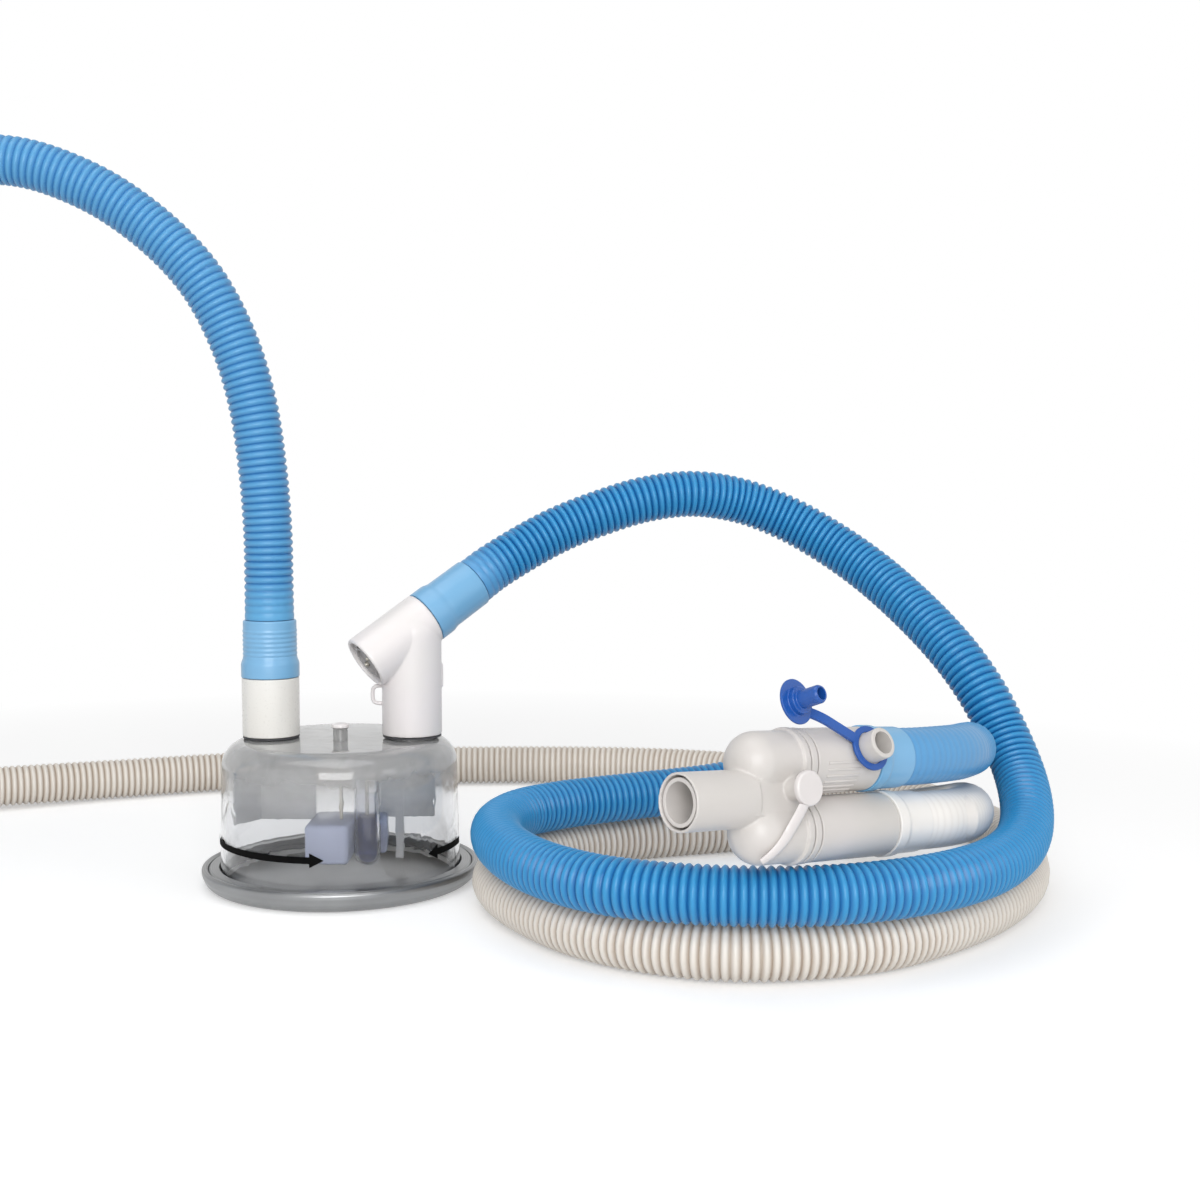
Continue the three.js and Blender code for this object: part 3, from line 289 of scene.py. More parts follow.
def spun_aluminium(name, tone, ring_scale):
    """Bare aluminium with the fine rings that a spinning lathe leaves, and a little cloudiness."""
    material, tree, shader, place = blank_finish(name)
    rings = add(tree, "ShaderNodeTexWave", {
        "Vector": place, "Scale": ring_scale, "Distortion": 0.6, "Detail": 3, "Detail Scale": 2},
        wave_type="RINGS", rings_direction="Z").outputs["Fac"]
    ramp = add(tree, "ShaderNodeValToRGB", {"Fac": noise(tree, place, 55, 4)}).outputs["Color"]
    dull, bright = ramp.node.color_ramp.elements
    dull.position, dull.color = 0.3, (*[0.86 * c for c in tone], 1)
    bright.position, bright.color = 0.7, (*tone, 1)
    shader.inputs["Metallic"].default_value = 1
    dress(tree, shader, ramp, spread(tree, rings, 0, 1, 0.30, 0.42), rings, 0.12)
    return material


RIM, ROLL, SHEET, FOOT = 66.5, 1.6, 2, 4.6
CLAMP_IN, CLAMP_OUT, CLAMP_LOW, CLAMP_TOP = 58.2, 63.2, 7.1, 9.5
aluminium = spun_aluminium("spun_aluminium", (0.33, 0.335, 0.34), 320)
pan = turned("pan", [
    (0, 0), (58.5, 0), *arc(59.1, 7, 7, -70, -20), (RIM, 7),
    *arc(RIM - ROLL, 8.2, ROLL, 10, 170), (RIM - 3, FOOT), (60.9, SHEET), (0, SHEET)],
    160, ease=0.3)
finish(pan, aluminium, ["base_plate"])
clamp = turned("clamp", [
    (CLAMP_IN, CLAMP_LOW), (CLAMP_OUT, CLAMP_LOW), (CLAMP_OUT, CLAMP_TOP - 0.8),
    (CLAMP_OUT - 0.8, CLAMP_TOP), (CLAMP_IN, CLAMP_TOP)], 160, ease=0.25)
finish(clamp, aluminium, ["clamp_ring"])

# ---- Seal under the dome ----
# A flat silicone ring in the pan. The clamp ring presses the dome's flange onto it, and it keeps
# the water in.


def silicone_rubber(name, colour):
    """Soft matt rubber with a fine grain."""
    material, tree, shader, place = blank_finish(name)
    mix = two_tones(tree, noise(tree, place, 90, 3), [0.85 * c for c in colour], colour)
    shader.inputs["Roughness"].default_value = 0.55
    dress(tree, shader, mix, None, noise(tree, place, 1400, 2), 0.15, 0.0001)
    return material


silicone = silicone_rubber("silicone", (0.74, 0.74, 0.72))
# Near-black rubber for two thin rings that are painted shade in the gaps under the cuffs.
painted_gap_shade = silicone_rubber("painted_gap_shade_rubber", (0.06, 0.06, 0.065))
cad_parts["base_seal"].material_slots[0].material = silicone

# ---- Dome ----
# One clear polystyrene moulding: a flanged bell with a rounded shoulder, two 22 mm spigots on its
# deck and a small nipple for the water feed.


def settle(piece):
    """Makes the result of a piece's modifiers its plain mesh."""
    depsgraph = bpy.context.evaluated_depsgraph_get()
    result = bpy.data.meshes.new_from_object(piece.evaluated_get(depsgraph))
    piece.modifiers.clear()
    piece.data = result
    return piece


def combine(piece, joined=(), removed=()):
    """Joins solids to a piece and cuts others out of it."""
    for tool, way in [(t, "UNION") for t in joined] + [(t, "DIFFERENCE") for t in removed]:
        change = piece.modifiers.new(way, "BOOLEAN")
        change.operation, change.object, change.solver = way, tool, "MANIFOLD"
        settle(piece)
        bpy.data.objects.remove(tool)
    return piece


def at(x=0, y=0, z=0):
    return Matrix.Translation((x, y, z))


def rod(radius, low, high, x=0, y=0, sides=96, place=Matrix()):
    """A plain round solid, to join or to cut with."""
    return turned("tool", [(0, low), (radius, low), (radius, high), (0, high)], sides,
                  place @ at(x, y), 0)


def clear_plastic(name, colour, roughness, ripple, bend=1.5, clearness=1):
    """Clear moulded plastic with the slight ripple of its flow in the mould."""
    material, tree, shader, place = blank_finish(name)
    flow = noise(tree, place, 48, 2, 0.8)
    shader.inputs["Base Color"].default_value = (*colour, 1)
    shader.inputs["Transmission Weight"].default_value = clearness
    shader.inputs["IOR"].default_value = bend
    haze = spread(tree, flow, 0, 1, roughness, roughness * 2)
    dress(tree, shader, None, haze, flow, ripple, 0.001)
    return material


def frost_upwards(material, low, high, share, tone):
    """Clouds a clear plastic between two levels, as on a deck with a matt mould face."""
    tree = material.node_tree
    shader = tree.nodes["Principled BSDF"]
    place = add(tree, "ShaderNodeTexCoord").outputs["Object"]
    level = add(tree, "ShaderNodeSeparateXYZ", {"Vector": place}).outputs["Z"]
    rise = spread(tree, level, low, high, interpolation_type="SMOOTHSTEP")
    cloud = spread(tree, noise(tree, place, 60, 4, 1.2), 0.35, 0.65, 0.72, 1.0)
    frost = reckon(tree, "MULTIPLY", rise, cloud)
    clear_tone = shader.inputs["Base Color"].default_value[:3]
    tree.links.new(spread(tree, frost, 0, 1, 1.0, 1 - share), shader.inputs["Transmission Weight"])
    tree.links.new(two_tones(tree, frost, clear_tone, tone), shader.inputs["Base Color"])


INLET, OUTLET = -33.3, 35
NIPPLE_X, NIPPLE_Y = 1.6, -9
BELL, DECK, WALL, SHOULDER = 57.6, 70, 2, 12
BEND = (BELL - 1.2 - SHOULDER, DECK - SHOULDER)
FLANGE, FLANGE_TOP = 60.6, 6.8
CONE, BORE, SPIGOT_TOP, NIPPLE_TOP = 11, 9.2, 95, 76
clear = clear_plastic("clear_polystyrene", (0.90, 0.905, 0.915), 0.02, 0.25)
frost_upwards(clear, 0.040, 0.066, 0.47, (0.56, 0.56, 0.555))
dome = turned("dome", [
    (FLANGE, FOOT), (FLANGE, FLANGE_TOP), (BELL, FLANGE_TOP), *arc(*BEND, SHOULDER, 0, 90, 12),
    (0, DECK), (0, DECK - WALL), *arc(*BEND, SHOULDER - WALL, 90, 0, 12), (BELL - WALL, FOOT)],
    144, ease=0.3)
spigots = [rod(CONE, DECK - 1.5, SPIGOT_TOP, x) for x in (INLET, OUTLET)]
spigots += [rod(3.5, DECK - 1.5, NIPPLE_TOP, NIPPLE_X, NIPPLE_Y, 32)]
bores = [rod(BORE, DECK - 3, SPIGOT_TOP + 1, x) for x in (INLET, OUTLET)]
bores += [rod(1.7, DECK - 3, NIPPLE_TOP + 1, NIPPLE_X, NIPPLE_Y, 32)]
combine(dome, spigots, bores)
smooth(dome, 30)
finish(dome, clear, ["dome_shell"])

# ---- Water feed and floats ----
# Water comes in at the nipple, whose plug is pulled off in use. The wide float closes the first
# valve. A thin float in its own round-ended tube closes the second one if the first one fails. A
# clear web leads from the nipple to the tube.


def moulded(name, colour, warm, roughness=0.38, shine=0.0, glint=0.5):
    """Opaque moulded plastic: a faint drift between two tones, and a fine satin grain."""
    material, tree, shader, place = blank_finish(name)
    amount = spread(tree, noise(tree, place, 28, 3), 0.35, 0.65)
    grain = noise(tree, place, 900, 3)
    shader.inputs["Coat Weight"].default_value = shine
    shader.inputs["Coat Roughness"].default_value = 0.15
    shader.inputs["Specular IOR Level"].default_value = glint
    dress(tree, shader, two_tones(tree, amount, colour, warm),
          spread(tree, grain, 0, 1, roughness - 0.05, roughness + 0.07), grain, 0.06)
    return material


def loft(name, rings):
    """A closed solid through rings of points that lie one behind another."""
    count = len(rings[0])
    points = [point for ring in rings for point in ring]
    faces = [tuple(range(count)), tuple(range(len(points) - count, len(points)))]
    for low in range(0, len(points) - count, count):
        for k in range(count):
            on = (k + 1) % count
            faces.append((low + k, low + on, low + on + count, low + k + count))
    piece = mesh_piece(name, points, faces)
    face_out(piece)
    return piece


def prism(name, outline, low, high, ease=0.5):
    """A flat outline raised between two levels, with rounded edges."""
    piece = loft(name, [[(x, y, z) for x, y in outline] for z in (low, high)])
    if ease:
        edge = piece.modifiers.new("edge", "BEVEL")
        edge.width, edge.segments, edge.limit_method = ease * MM, 3, "ANGLE"
        settle(piece)
    smooth(piece, 50)
    return piece


def put(piece, place):
    """Moves a piece's mesh by a place in millimetres."""
    piece.data.transform(Matrix.Scale(MM, 4) @ place @ Matrix.Scale(1 / MM, 4))
    return piece


def block(name, low, high, ease=0.5, place=Matrix()):
    """A rectangular plate or bar between two corners."""
    (x0, y0, z0), (x1, y1, z1) = low, high
    return put(prism(name, [(x0, y0), (x1, y0), (x1, y1), (x0, y1)], z0, z1, ease), place)


pale = moulded("pale_plastic", (0.80, 0.775, 0.755), (0.83, 0.785, 0.785), 0.34, shine=0.15)
violet = clear_plastic("violet_float", (0.72, 0.78, 1.0), 0.12, 0.05, 1.2, 0.2)
deep_violet = clear_plastic("deep_violet_float", (0.33, 0.39, 0.80), 0.08, 0.05, 1.2, 0.7)
grey_baffle = moulded("baffle_plastic", (0.86, 0.86, 0.865), (0.91, 0.91, 0.915), 0.45)
thin_clear = clear_plastic("clear_tube", (0.80, 0.81, 0.85), 0.03, 0.1)
dull_brass = spun_aluminium("dull_brass", (0.66, 0.62, 0.54), 900)
FEED = at(NIPPLE_X, NIPPLE_Y)
TUBE_X, TUBE_Y, TUBE_OUT, TUBE_IN = 13.5, -6, 6.3, 5.1
FILL = at(TUBE_X, TUBE_Y)
HUNG = DECK - WALL - 0.3

plug = turned("water_feed_plug", [
    (0, 71), (1.4, 72), (1.4, NIPPLE_TOP + 0.3), (4.2, NIPPLE_TOP + 0.3), (4.2, 77.6),
    (3.1, 78.4), (0, 78.4)], 40, FEED)
finish(plug, pale, ["feed_plug"], "feed_plug_body")
tube = turned("float_tube", [
    *arc(0, 15.3, TUBE_OUT, -90, 0), (TUBE_OUT, HUNG), (TUBE_IN, HUNG),
    *arc(0, 15.3, TUBE_IN, 0, -90)], 56, FILL, 0.3)
combine(tube, removed=[block("tool", (TUBE_X, -14, 45), (18.6, TUBE_Y, 55), 0)])
smooth(tube, 40)
finish(tube, thin_clear, ["fill_tube"])
wide_float = prism("wide_float", [
    (-14, -23), (6.7, -23), (6.7, 0.8), (22, 0.8), (22, 11), (-14, 11)], 12.6, 31.7, 2.2)
finish(wide_float, violet, ["primary_float"], "primary_float_body")
thin_float = turned("thin_float", [*arc(0, 15.1, 4.6, -90, 0), (4.6, 33), (0, 33)], 48, FILL)
finish(thin_float, deep_violet, ["secondary_float"], "secondary_float_body")
for name, place, low, high, body in (
        ("primary_valve_pin", FEED, 32, 55.2, "primary_float_body"),
        ("secondary_valve_pin", FILL, 33.3, 59.2, "secondary_float_body")):
    pin = turned(f"turned_{name}", [
        (0, low), (0.9, low), (0.9, high - 1.2), (0.3, high), (0, high)], 24, place, 0.2)
    finish(pin, dull_brass, [name], body)
channel = prism("feed_channel", [
    (-1.8, 67.8), (1.5, 63.5), (4.6, 59), (6.4, 54), (7, 46), (7.9, 46), (8, 67.8)], -0.7, 0.7, 0.4)
put(channel, at(0, -6.4) @ Matrix.Rotation(math.radians(90), 4, "X"))
finish(channel, thin_clear)
for name in ("primary_valve_seat", "secondary_valve_seat"):
    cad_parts[name].material_slots[0].material = silicone

# ---- Baffles ----
# Grey moulded plates that hang from the deck and keep splashes from the two spigots. The inlet's
# plate has a shelf in its upper half and a wing on its outer edge.
inlet_plate = block("inlet_plate", (-42.5, 13.2, 27), (-14.5, 14.8, HUNG), 0.6)
shelf = block("tool", (-42.5, 5.8, 53), (-14.5, 14, 54.6), 0.3)
WING = at(-42.5, 14) @ Matrix.Rotation(math.radians(56.3), 4, "Z")
wing = block("tool", (-18, -0.8, 27), (0.5, 0.8, 52), 0.5, WING)
combine(inlet_plate, joined=[shelf, wing])
smooth(inlet_plate, 40)
finish(inlet_plate, grey_baffle, ["inlet_baffle"])
outlet_plate = block("outlet_plate", (17.5, 12.2, 28.6), (44.5, 13.8, 63.7), 0.6)
combine(outlet_plate, joined=[block("tool", (25, 11.5, 8), (29, 14.5, HUNG), 0)])
smooth(outlet_plate, 40)
finish(outlet_plate, grey_baffle, ["outlet_baffle"])

# ---- Flow arrows on the dome ----
# Two plain arrows, printed in black round the outside of the bell, near its foot. Each is a film
# of ink, a tenth of a millimetre thick.
ink = moulded("black_ink", (0.002, 0.002, 0.002), (0.004, 0.004, 0.004), 0.8, glint=0.08)


STROKE, HEAD, HEAD_LENGTH = 3.1, 6.8, 6.6
INK_UNDER, INK_OVER = BELL + 0.02, BELL + 0.12


def printed_arrow(name, start, tip, level):
    """An arrow that follows the bell's wall between two bearings in degrees."""
    way = 1 if tip > start else -1
    run = math.radians(abs(tip - start)) * BELL
    neck = run - HEAD_LENGTH
    shaft = [(run * k / 30, STROKE / 2) for k in range(30) if run * k / 30 < neck]
    rings = []
    for s, half in [*shaft, (neck, STROKE / 2), (neck, HEAD / 2), (run, 0.05)]:
        angle = math.radians(start) + way * s / BELL
        rings.append([(r * math.cos(angle), r * math.sin(angle), level + z) for r, z in (
            (INK_UNDER, -half), (INK_UNDER, half), (INK_OVER, half), (INK_OVER, -half))])
    return finish(loft(name, rings), ink)


printed_arrow("arrow_left", -170, -89, 23)
printed_arrow("arrow_right", -3, -37, 20.8)

# ---- Inlet adapter and its seal ----
# A cream moulded adapter, pushed onto the inlet spigot for the dry limb. A thin near-black ring is
# painted shade in the gap where it meets the deck, and another one is painted shade under the
# elbow.
cream = moulded("cream_plastic", (0.82, 0.80, 0.755), (0.84, 0.825, 0.785), 0.28, shine=0.3)
ON_INLET = at(INLET)
SOCKET, STOP = 11.3, SPIGOT_TOP + 0.3
ADAPTER, ADAPTER_LOW, ADAPTER_TOP, CONE_LENGTH = 13.7, 71.5, 99.6, 14
adapter = turned("inlet_adapter", [
    (SOCKET, ADAPTER_LOW), (ADAPTER, ADAPTER_LOW), (ADAPTER, ADAPTER_TOP), (CONE, ADAPTER_TOP),
    (CONE, ADAPTER_TOP + CONE_LENGTH), (BORE, ADAPTER_TOP + CONE_LENGTH), (BORE, STOP),
    (SOCKET, STOP)], place=ON_INLET)
finish(adapter, cream, ["inlet_cuff"])
# Each ring is painted shade: a dark band that stands for the shadowed gap under a cuff.
for name, x, low, outside in (("inlet_gap_shade", INLET, 70.4, 13.5), ("outlet_gap_shade", OUTLET, 70.8, 14.1)):
    shade_ring = turned(name, [
        (SOCKET, low), (outside, low), (outside, low + 0.9), (SOCKET, low + 0.9)], place=at(x))
    finish(shade_ring, painted_gap_shade)
for name in ("inlet_seal", "elbow_seal"):
    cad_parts[name].material_slots[0].material = silicone

# ---- Dry limb's cuff ----
# A soft blue cuff that grips the adapter's cone. It is moulded over the end of the ribbed hose, so
# that the ribs show through faintly.


HOSE_BORE, CUFF_DEPTH, GAP = 9.6, 14.3, 0.3


def soft_cuff(name, mouth, end, length, place, ribs=(), rise=0.22):
    """A cuff about +Z from its mouth at 0, with faint rings at the given heights."""
    outside = [(mouth, 0)]
    for t in (0, 0.2, 0.4, 0.6, 0.8, 1):
        narrowed = (mouth - end - 0.15) * t * t * (3 - 2 * t)
        outside.append((mouth - narrowed, length * (0.22 + 0.14 * t)))
    for level in ribs:
        outside += [(end, level - 0.9), (end + rise, level), (end, level + 0.9)]
    outside += [(end, length - 0.6), (end - 0.5, length)]
    return turned(name, [
        (SOCKET, 0), *outside, (HOSE_BORE, length), (HOSE_BORE, CUFF_DEPTH),
        (SOCKET, CUFF_DEPTH)], 96, place, 0.35)


cuff_blue = moulded("cuff_blue", (0.165, 0.415, 0.665), (0.2, 0.445, 0.70), 0.36, shine=0.2)
dry_cuff = soft_cuff("dry_limb_cuff", 13.9, 12.7, 27.5, ON_INLET @ at(z=ADAPTER_TOP + GAP),
                     [11.2 + 2.2 * k for k in range(6)], 0.3)
finish(dry_cuff, cuff_blue, ["dry_line_cuff"])

# ---- Dry limb ----
# Corrugated polyethylene hose, 24 mm across, 0.8 m long. It stands up from the chamber in one stiff
# arch, comes down to the table beyond it and ends in the ventilator's cuff.


def open_tree(name, sizes):
    """A geometry tree that takes a shape, sizes or counts and a finish, and its inputs."""
    tree = bpy.data.node_groups.new(name, "GeometryNodeTree")
    face = tree.interface
    face.new_socket("Shape", in_out="INPUT", socket_type="NodeSocketGeometry")
    for key, value in sizes.items():
        kind = "NodeSocketInt" if isinstance(value, int) else "NodeSocketFloat"
        face.new_socket(key, in_out="INPUT", socket_type=kind).default_value = value
    face.new_socket("Finish", in_out="INPUT", socket_type="NodeSocketMaterial")
    face.new_socket("Result", in_out="OUTPUT", socket_type="NodeSocketGeometry")
    return tree, add(tree, "NodeGroupInput").outputs


def close_tree(tree, made, material):
    """Ends a tree: its instances are made real and take their finish."""
    made = add(tree, "GeometryNodeRealizeInstances", {"Geometry": made}).outputs[0]
    made = add(tree, "GeometryNodeSetMaterial", {"Geometry": made, "Material": material})
    add(tree, "NodeGroupOutput", {"Result": made.outputs[0]})
    return tree


def grow(piece, tree, **sizes):
    """Runs a tree on a piece with the given inputs, and keeps what it makes as the mesh."""
    change = piece.modifiers.new("tree", "NODES")
    change.node_group = tree
    wanted = {key.replace("_", " "): value for key, value in sizes.items()}
    for socket in tree.interface.items_tree:
        if socket.item_type == "SOCKET" and socket.in_out == "INPUT" and socket.name in wanted:
            change[socket.identifier] = wanted[socket.name]
    return settle(piece)


def corrugated_hose():
    """A tree that sweeps ribs along a line of points. Each end is a rim round an open bore."""
    tree, given = open_tree("corrugated_hose", {
        "Rib Pitch": 0.0036, "Crest Radius": 0.0118, "Groove Depth": 0.0013, "Fullness": 2.2,
        "Plain Start": 0.0, "Plain End": 0.0, "Plain Depth": 0.12, "Bore Share": 0.84,
        "Bore Depth": 0.03, "Sides": 28})

    stations, ramp = 8.0, 0.02

    def sum_up(kind, a, b=0.0):
        return reckon(tree, kind, a, b)

    line = add(tree, "GeometryNodeMeshToCurve", {"Mesh": given["Shape"]}).outputs["Curve"]
    step = sum_up("DIVIDE", given["Rib Pitch"], stations)
    line = add(tree, "GeometryNodeResampleCurve", {
        "Curve": line, "Length": step}, mode="LENGTH").outputs[0]
    spot = add(tree, "GeometryNodeSplineParameter").outputs
    along = spot["Length"]
    phase = sum_up("FRACT", sum_up("DIVIDE", along, given["Rib Pitch"]))
    off_crest = sum_up("ABSOLUTE", sum_up("SUBTRACT", sum_up("MULTIPLY", phase, 2.0), 1.0))
    crest = sum_up("SUBTRACT", 1.0, sum_up("POWER", off_crest, given["Fullness"]))
    whole = sum_up("DIVIDE", along, sum_up("MAXIMUM", spot["Factor"], 0.0001))
    left = sum_up("SUBTRACT", whole, along)
    from_start = sum_up("DIVIDE", sum_up("SUBTRACT", along, given["Plain Start"]), ramp)
    from_end = sum_up("DIVIDE", sum_up("SUBTRACT", left, given["Plain End"]), ramp)
    nearest = sum_up("MINIMUM", from_start, from_end)
    ribbed = add(tree, "ShaderNodeClamp", {"Value": nearest}).outputs[0]
    fade = spread(tree, ribbed, 0, 1, given["Plain Depth"])
    full = sum_up("MULTIPLY", given["Groove Depth"], fade)
    depth = sum_up("MULTIPLY", sum_up("SUBTRACT", 1.0, crest), full)
    radius = sum_up("SUBTRACT", given["Crest Radius"], depth)
    for name, value in (("crest", crest), ("plain", sum_up("SUBTRACT", 1.0, ribbed))):
        line = add(tree, "GeometryNodeStoreNamedAttribute", {
            "Geometry": line, "Name": name, "Value": value}, data_type="FLOAT").outputs[0]
    ring = add(tree, "GeometryNodeCurvePrimitiveCircle", {
        "Resolution": given["Sides"], "Radius": 1.0}).outputs["Curve"]
    wall = add(tree, "GeometryNodeCurveToMesh", {
        "Curve": line, "Profile Curve": ring, "Scale": radius, "Fill Caps": True}).outputs["Mesh"]
    corners = add(tree, "GeometryNodeInputMeshFaceNeighbors").outputs["Vertex Count"]
    cap = add(tree, "FunctionNodeCompare", {"A": corners, "B": 4}, data_type="INT",
              operation="GREATER_THAN").outputs["Result"]
    wall = add(tree, "GeometryNodeSetShadeSmooth", {"Geometry": wall, "Shade Smooth": True})
    rim = add(tree, "GeometryNodeExtrudeMesh", {
        "Mesh": wall.outputs[0], "Selection": cap, "Offset Scale": 0.0}).outputs
    rim_in = add(tree, "GeometryNodeScaleElements", {
        "Geometry": rim["Mesh"], "Selection": rim["Top"], "Scale": given["Bore Share"]})
    inward = sum_up("MULTIPLY", given["Bore Depth"], -1.0)
    bore = add(tree, "GeometryNodeExtrudeMesh", {
        "Mesh": rim_in.outputs[0], "Selection": rim["Top"], "Offset Scale": inward})
    return close_tree(tree, bore.outputs["Mesh"], given["Finish"])


def smooth_route(points, steps=12):
    """The line through chosen points, as a centripetal Catmull-Rom curve, in metres."""
    chosen = [Vector(p) * MM for p in points]
    chosen = [2 * chosen[0] - chosen[1], *chosen, 2 * chosen[-1] - chosen[-2]]
    line = []
    for a, b, c, d in zip(chosen, chosen[1:], chosen[2:], chosen[3:]):
        ab, bc, cd = (b - a).length ** 0.5, (c - b).length ** 0.5, (d - c).length ** 0.5
        leave = ((b - a) / ab - (c - a) / (ab + bc) + (c - b) / bc) * bc
        arrive = ((c - b) / bc - (d - b) / (bc + cd) + (d - c) / cd) * bc
        for k in range(steps):
            t = k / steps
            line.append(b + leave * t + (-3 * b + 3 * c - 2 * leave - arrive) * t ** 2
                        + (2 * b - 2 * c + leave + arrive) * t ** 3)
    return line + [chosen[-2]]


hose_tree = corrugated_hose()


def hose(name, points, material, **sizes):
    """A ribbed hose along a route, and the line that it follows."""
    line = smooth_route(points)
    piece = mesh_piece(name, [p / MM for p in line], [])
    piece.data.edges.add(len(line) - 1)
    for k, edge in enumerate(piece.data.edges):
        edge.vertices = (k, k + 1)
    grow(piece, hose_tree, Finish=material, **sizes)
    smooth(piece, 75)
    return piece, line


def hose_plastic(name, crest_tone, groove_shade_tone, plain_tone, roughness):
    """Thin ribbed plastic: crest tone on crests, painted shade in the grooves, plain where no rib
    is.
    """
    material, tree, shader, place = blank_finish(name)
    crest = add(tree, "ShaderNodeAttribute", attribute_name="crest").outputs["Fac"]
    grain = noise(tree, place, 1200, 2)
    shade = reckon(tree, "MULTIPLY_ADD", noise(tree, place, 35, 3), 0.22, crest)
    # The groove tone is painted shade: each groove is darkened as if the ribs shaded it.
    mix = two_tones(tree, spread(tree, shade, 0.05, 1.1), groove_shade_tone, crest_tone)
    plain = add(tree, "ShaderNodeAttribute", attribute_name="plain").outputs["Fac"]
    dress(tree, shader, two_tones(tree, reckon(tree, "MULTIPLY", plain, 0.85), mix, plain_tone),
          spread(tree, grain, 0, 1, roughness - 0.04, roughness + 0.08), grain, 0.08)
    return material


# Crest tone, then painted shade for the grooves, then the plain tone.
dry_blue = hose_plastic(
    "dry_hose_blue", (0.092, 0.34, 0.62), (0.03, 0.18, 0.45), (0.12, 0.40, 0.68), 0.38)
DRY_ROUTE = [
    (-33.3, 0, 127.7), (-33.3, 0, 146), (-33.5, 0, 170), (-35.5, 0, 200), (-40, 0, 232),
    (-49, 0, 262), (-64, 0, 290), (-87, 0, 314), (-118, 0, 334), (-155, 0, 345), (-196, 2, 340),
    (-234, 6, 320), (-264, 11, 287), (-283, 17, 247), (-292, 24, 205), (-297, 32, 160),
    (-303, 42, 115), (-315, 54, 75), (-336, 70, 44), (-366, 90, 23), (-402, 112, 14.2),
    (-432, 130, 14)]
dry_limb, dry_path = hose("dry_limb", DRY_ROUTE, dry_blue, Rib_Pitch=0.0035, Crest_Radius=0.0117,
                          Groove_Depth=0.0011, Fullness=1.8)
finish(dry_limb, dry_blue, ["dry_line"])

# ---- Machine end cuffs ----
# The dry limb and the expiratory limb each end in a 22 mm cuff, 34 mm long, that pushes onto the
# ventilator. It is moulded in its limb's colour, with five finger grips.


def facing(way):
    """The turn that takes +Z to a direction."""
    return Vector((0, 0, 1)).rotation_difference(way).to_matrix().to_4x4()


def machine_cuff(name, route, material, node):
    """The cuff on the far end of a route, with five finger grips."""
    end, before = Vector(route[-1]), Vector(route[-2])
    grips = [point for level in (12, 16, 20, 24, 28) for point in (
        (13.2, level - 0.8), (13.5, level - 0.4), (13.5, level + 0.4), (13.2, level + 0.8))]
    piece = turned(name, [
        (HOSE_BORE, GAP), (11.9, GAP), (13.2, 6), *grips, (13.2, 31), (13.5, 31.4), (13.5, 34),
        (SOCKET, 34), (SOCKET, 10), (HOSE_BORE, 9)], 80, at(*end) @ facing(end - before), 0.25)
    return finish(piece, material, [node])


dry_end = machine_cuff(
    "dry_limb_machine_cuff", DRY_ROUTE, cuff_blue, "dry_line_end_cuff")

# ---- Elbow ----
# A pale two-way elbow on the outlet spigot. The heater wire's socket is in the lower end of its
# arm, and a small loop on the leg keeps the wire's plug in place.
LEG, KNEE, ARM = 14.4, 120, 13.4
ARM_FOOT, ARM_TOP, ARM_TURN, ARM_RISE, ARM_LEVEL = -28.5, 9, 29, 33, 123
raised = Matrix.Rotation(math.radians(-ARM_RISE), 3, "Y") @ Vector((1, 0, 0))
arm = Matrix.Rotation(math.radians(ARM_TURN), 3, "Z") @ raised
ON_ARM = at(OUTLET, 0, ARM_LEVEL) @ facing(arm)


def melted(piece, voxel, passes):
    """Runs a moulding's surfaces into each other, as the fillets of a mould do."""
    melt = piece.modifiers.new("melt", "REMESH")
    melt.mode, melt.voxel_size = "VOXEL", voxel * MM
    ease = piece.modifiers.new("ease", "SMOOTH")
    ease.factor, ease.iterations = 0.5, passes
    settle(piece)
    piece.data.shade_smooth()
    return piece


elbow = rod(LEG, 72, KNEE, OUTLET)
elbow.name = "elbow"
arms = turned("tool", [
    (0, ARM_FOOT), (ARM, ARM_FOOT), (ARM, ARM_TOP), (0, ARM_TOP)], 96, ON_ARM, 0.9)
nose = rod(CONE, 0, ARM_TOP + CONE_LENGTH, place=ON_ARM)
knuckle = turned("tool", arc(0, 0, LEG, -90, 90, 24), 96, at(OUTLET, 0, KNEE), 0)
rib = block("tool", (48.6, -0.8, 95), (50.2, 0.8, 106), 0.3)
cuts = [rod(BORE, -22.5, 24, place=ON_ARM), rod(BORE, STOP - 1, KNEE + 1, OUTLET),
        rod(SOCKET, 71, STOP, OUTLET), rod(11.4, ARM_FOOT - 1, -24.5, place=ON_ARM)]
combine(elbow, [arms, nose, knuckle, rib], cuts)
melted(elbow, 0.55, 3)
finish(elbow, pale, ["elbow_body"])

PLATE_FACE, PLATE_BACK, COLLAR, CONTACT_Y = -26.2, -24.8, -27.6, 4.5
plate = turned("heater_socket", [
    (0, PLATE_FACE), (6.9, PLATE_FACE), (6.9, COLLAR), (8.1, COLLAR), (8.1, PLATE_FACE),
    (11.1, PLATE_FACE), (11.1, PLATE_BACK), (0, PLATE_BACK)], 72, ON_ARM, 0.2)
keys = [block("tool", (-9.8, y - 1.1, -27.4), (-7.8, y + 1.1, -25.5), 0.2, ON_ARM)
        for y in (-3, 3)]
combine(plate, keys, [rod(1.5, -28, -24, 0, y, 24, ON_ARM) for y in (-CONTACT_Y, CONTACT_Y)])
smooth(plate, 35)
socket_grey = moulded("socket_plastic", (0.36, 0.35, 0.35), (0.42, 0.40, 0.40), 0.5)
finish(plate, socket_grey, ["elbow_end_cap"])
for number, y in ((1, -CONTACT_Y), (2, CONTACT_Y)):
    contact = turned(f"heater_contact_{number}", [
        (0, PLATE_BACK), (1.2, PLATE_BACK), (1.2, -27.5), (0.7, -28), (0, -28)], 24,
        ON_ARM @ at(0, y), 0.15)
    finish(contact, dull_brass, [f"heater_pin_{number}"])

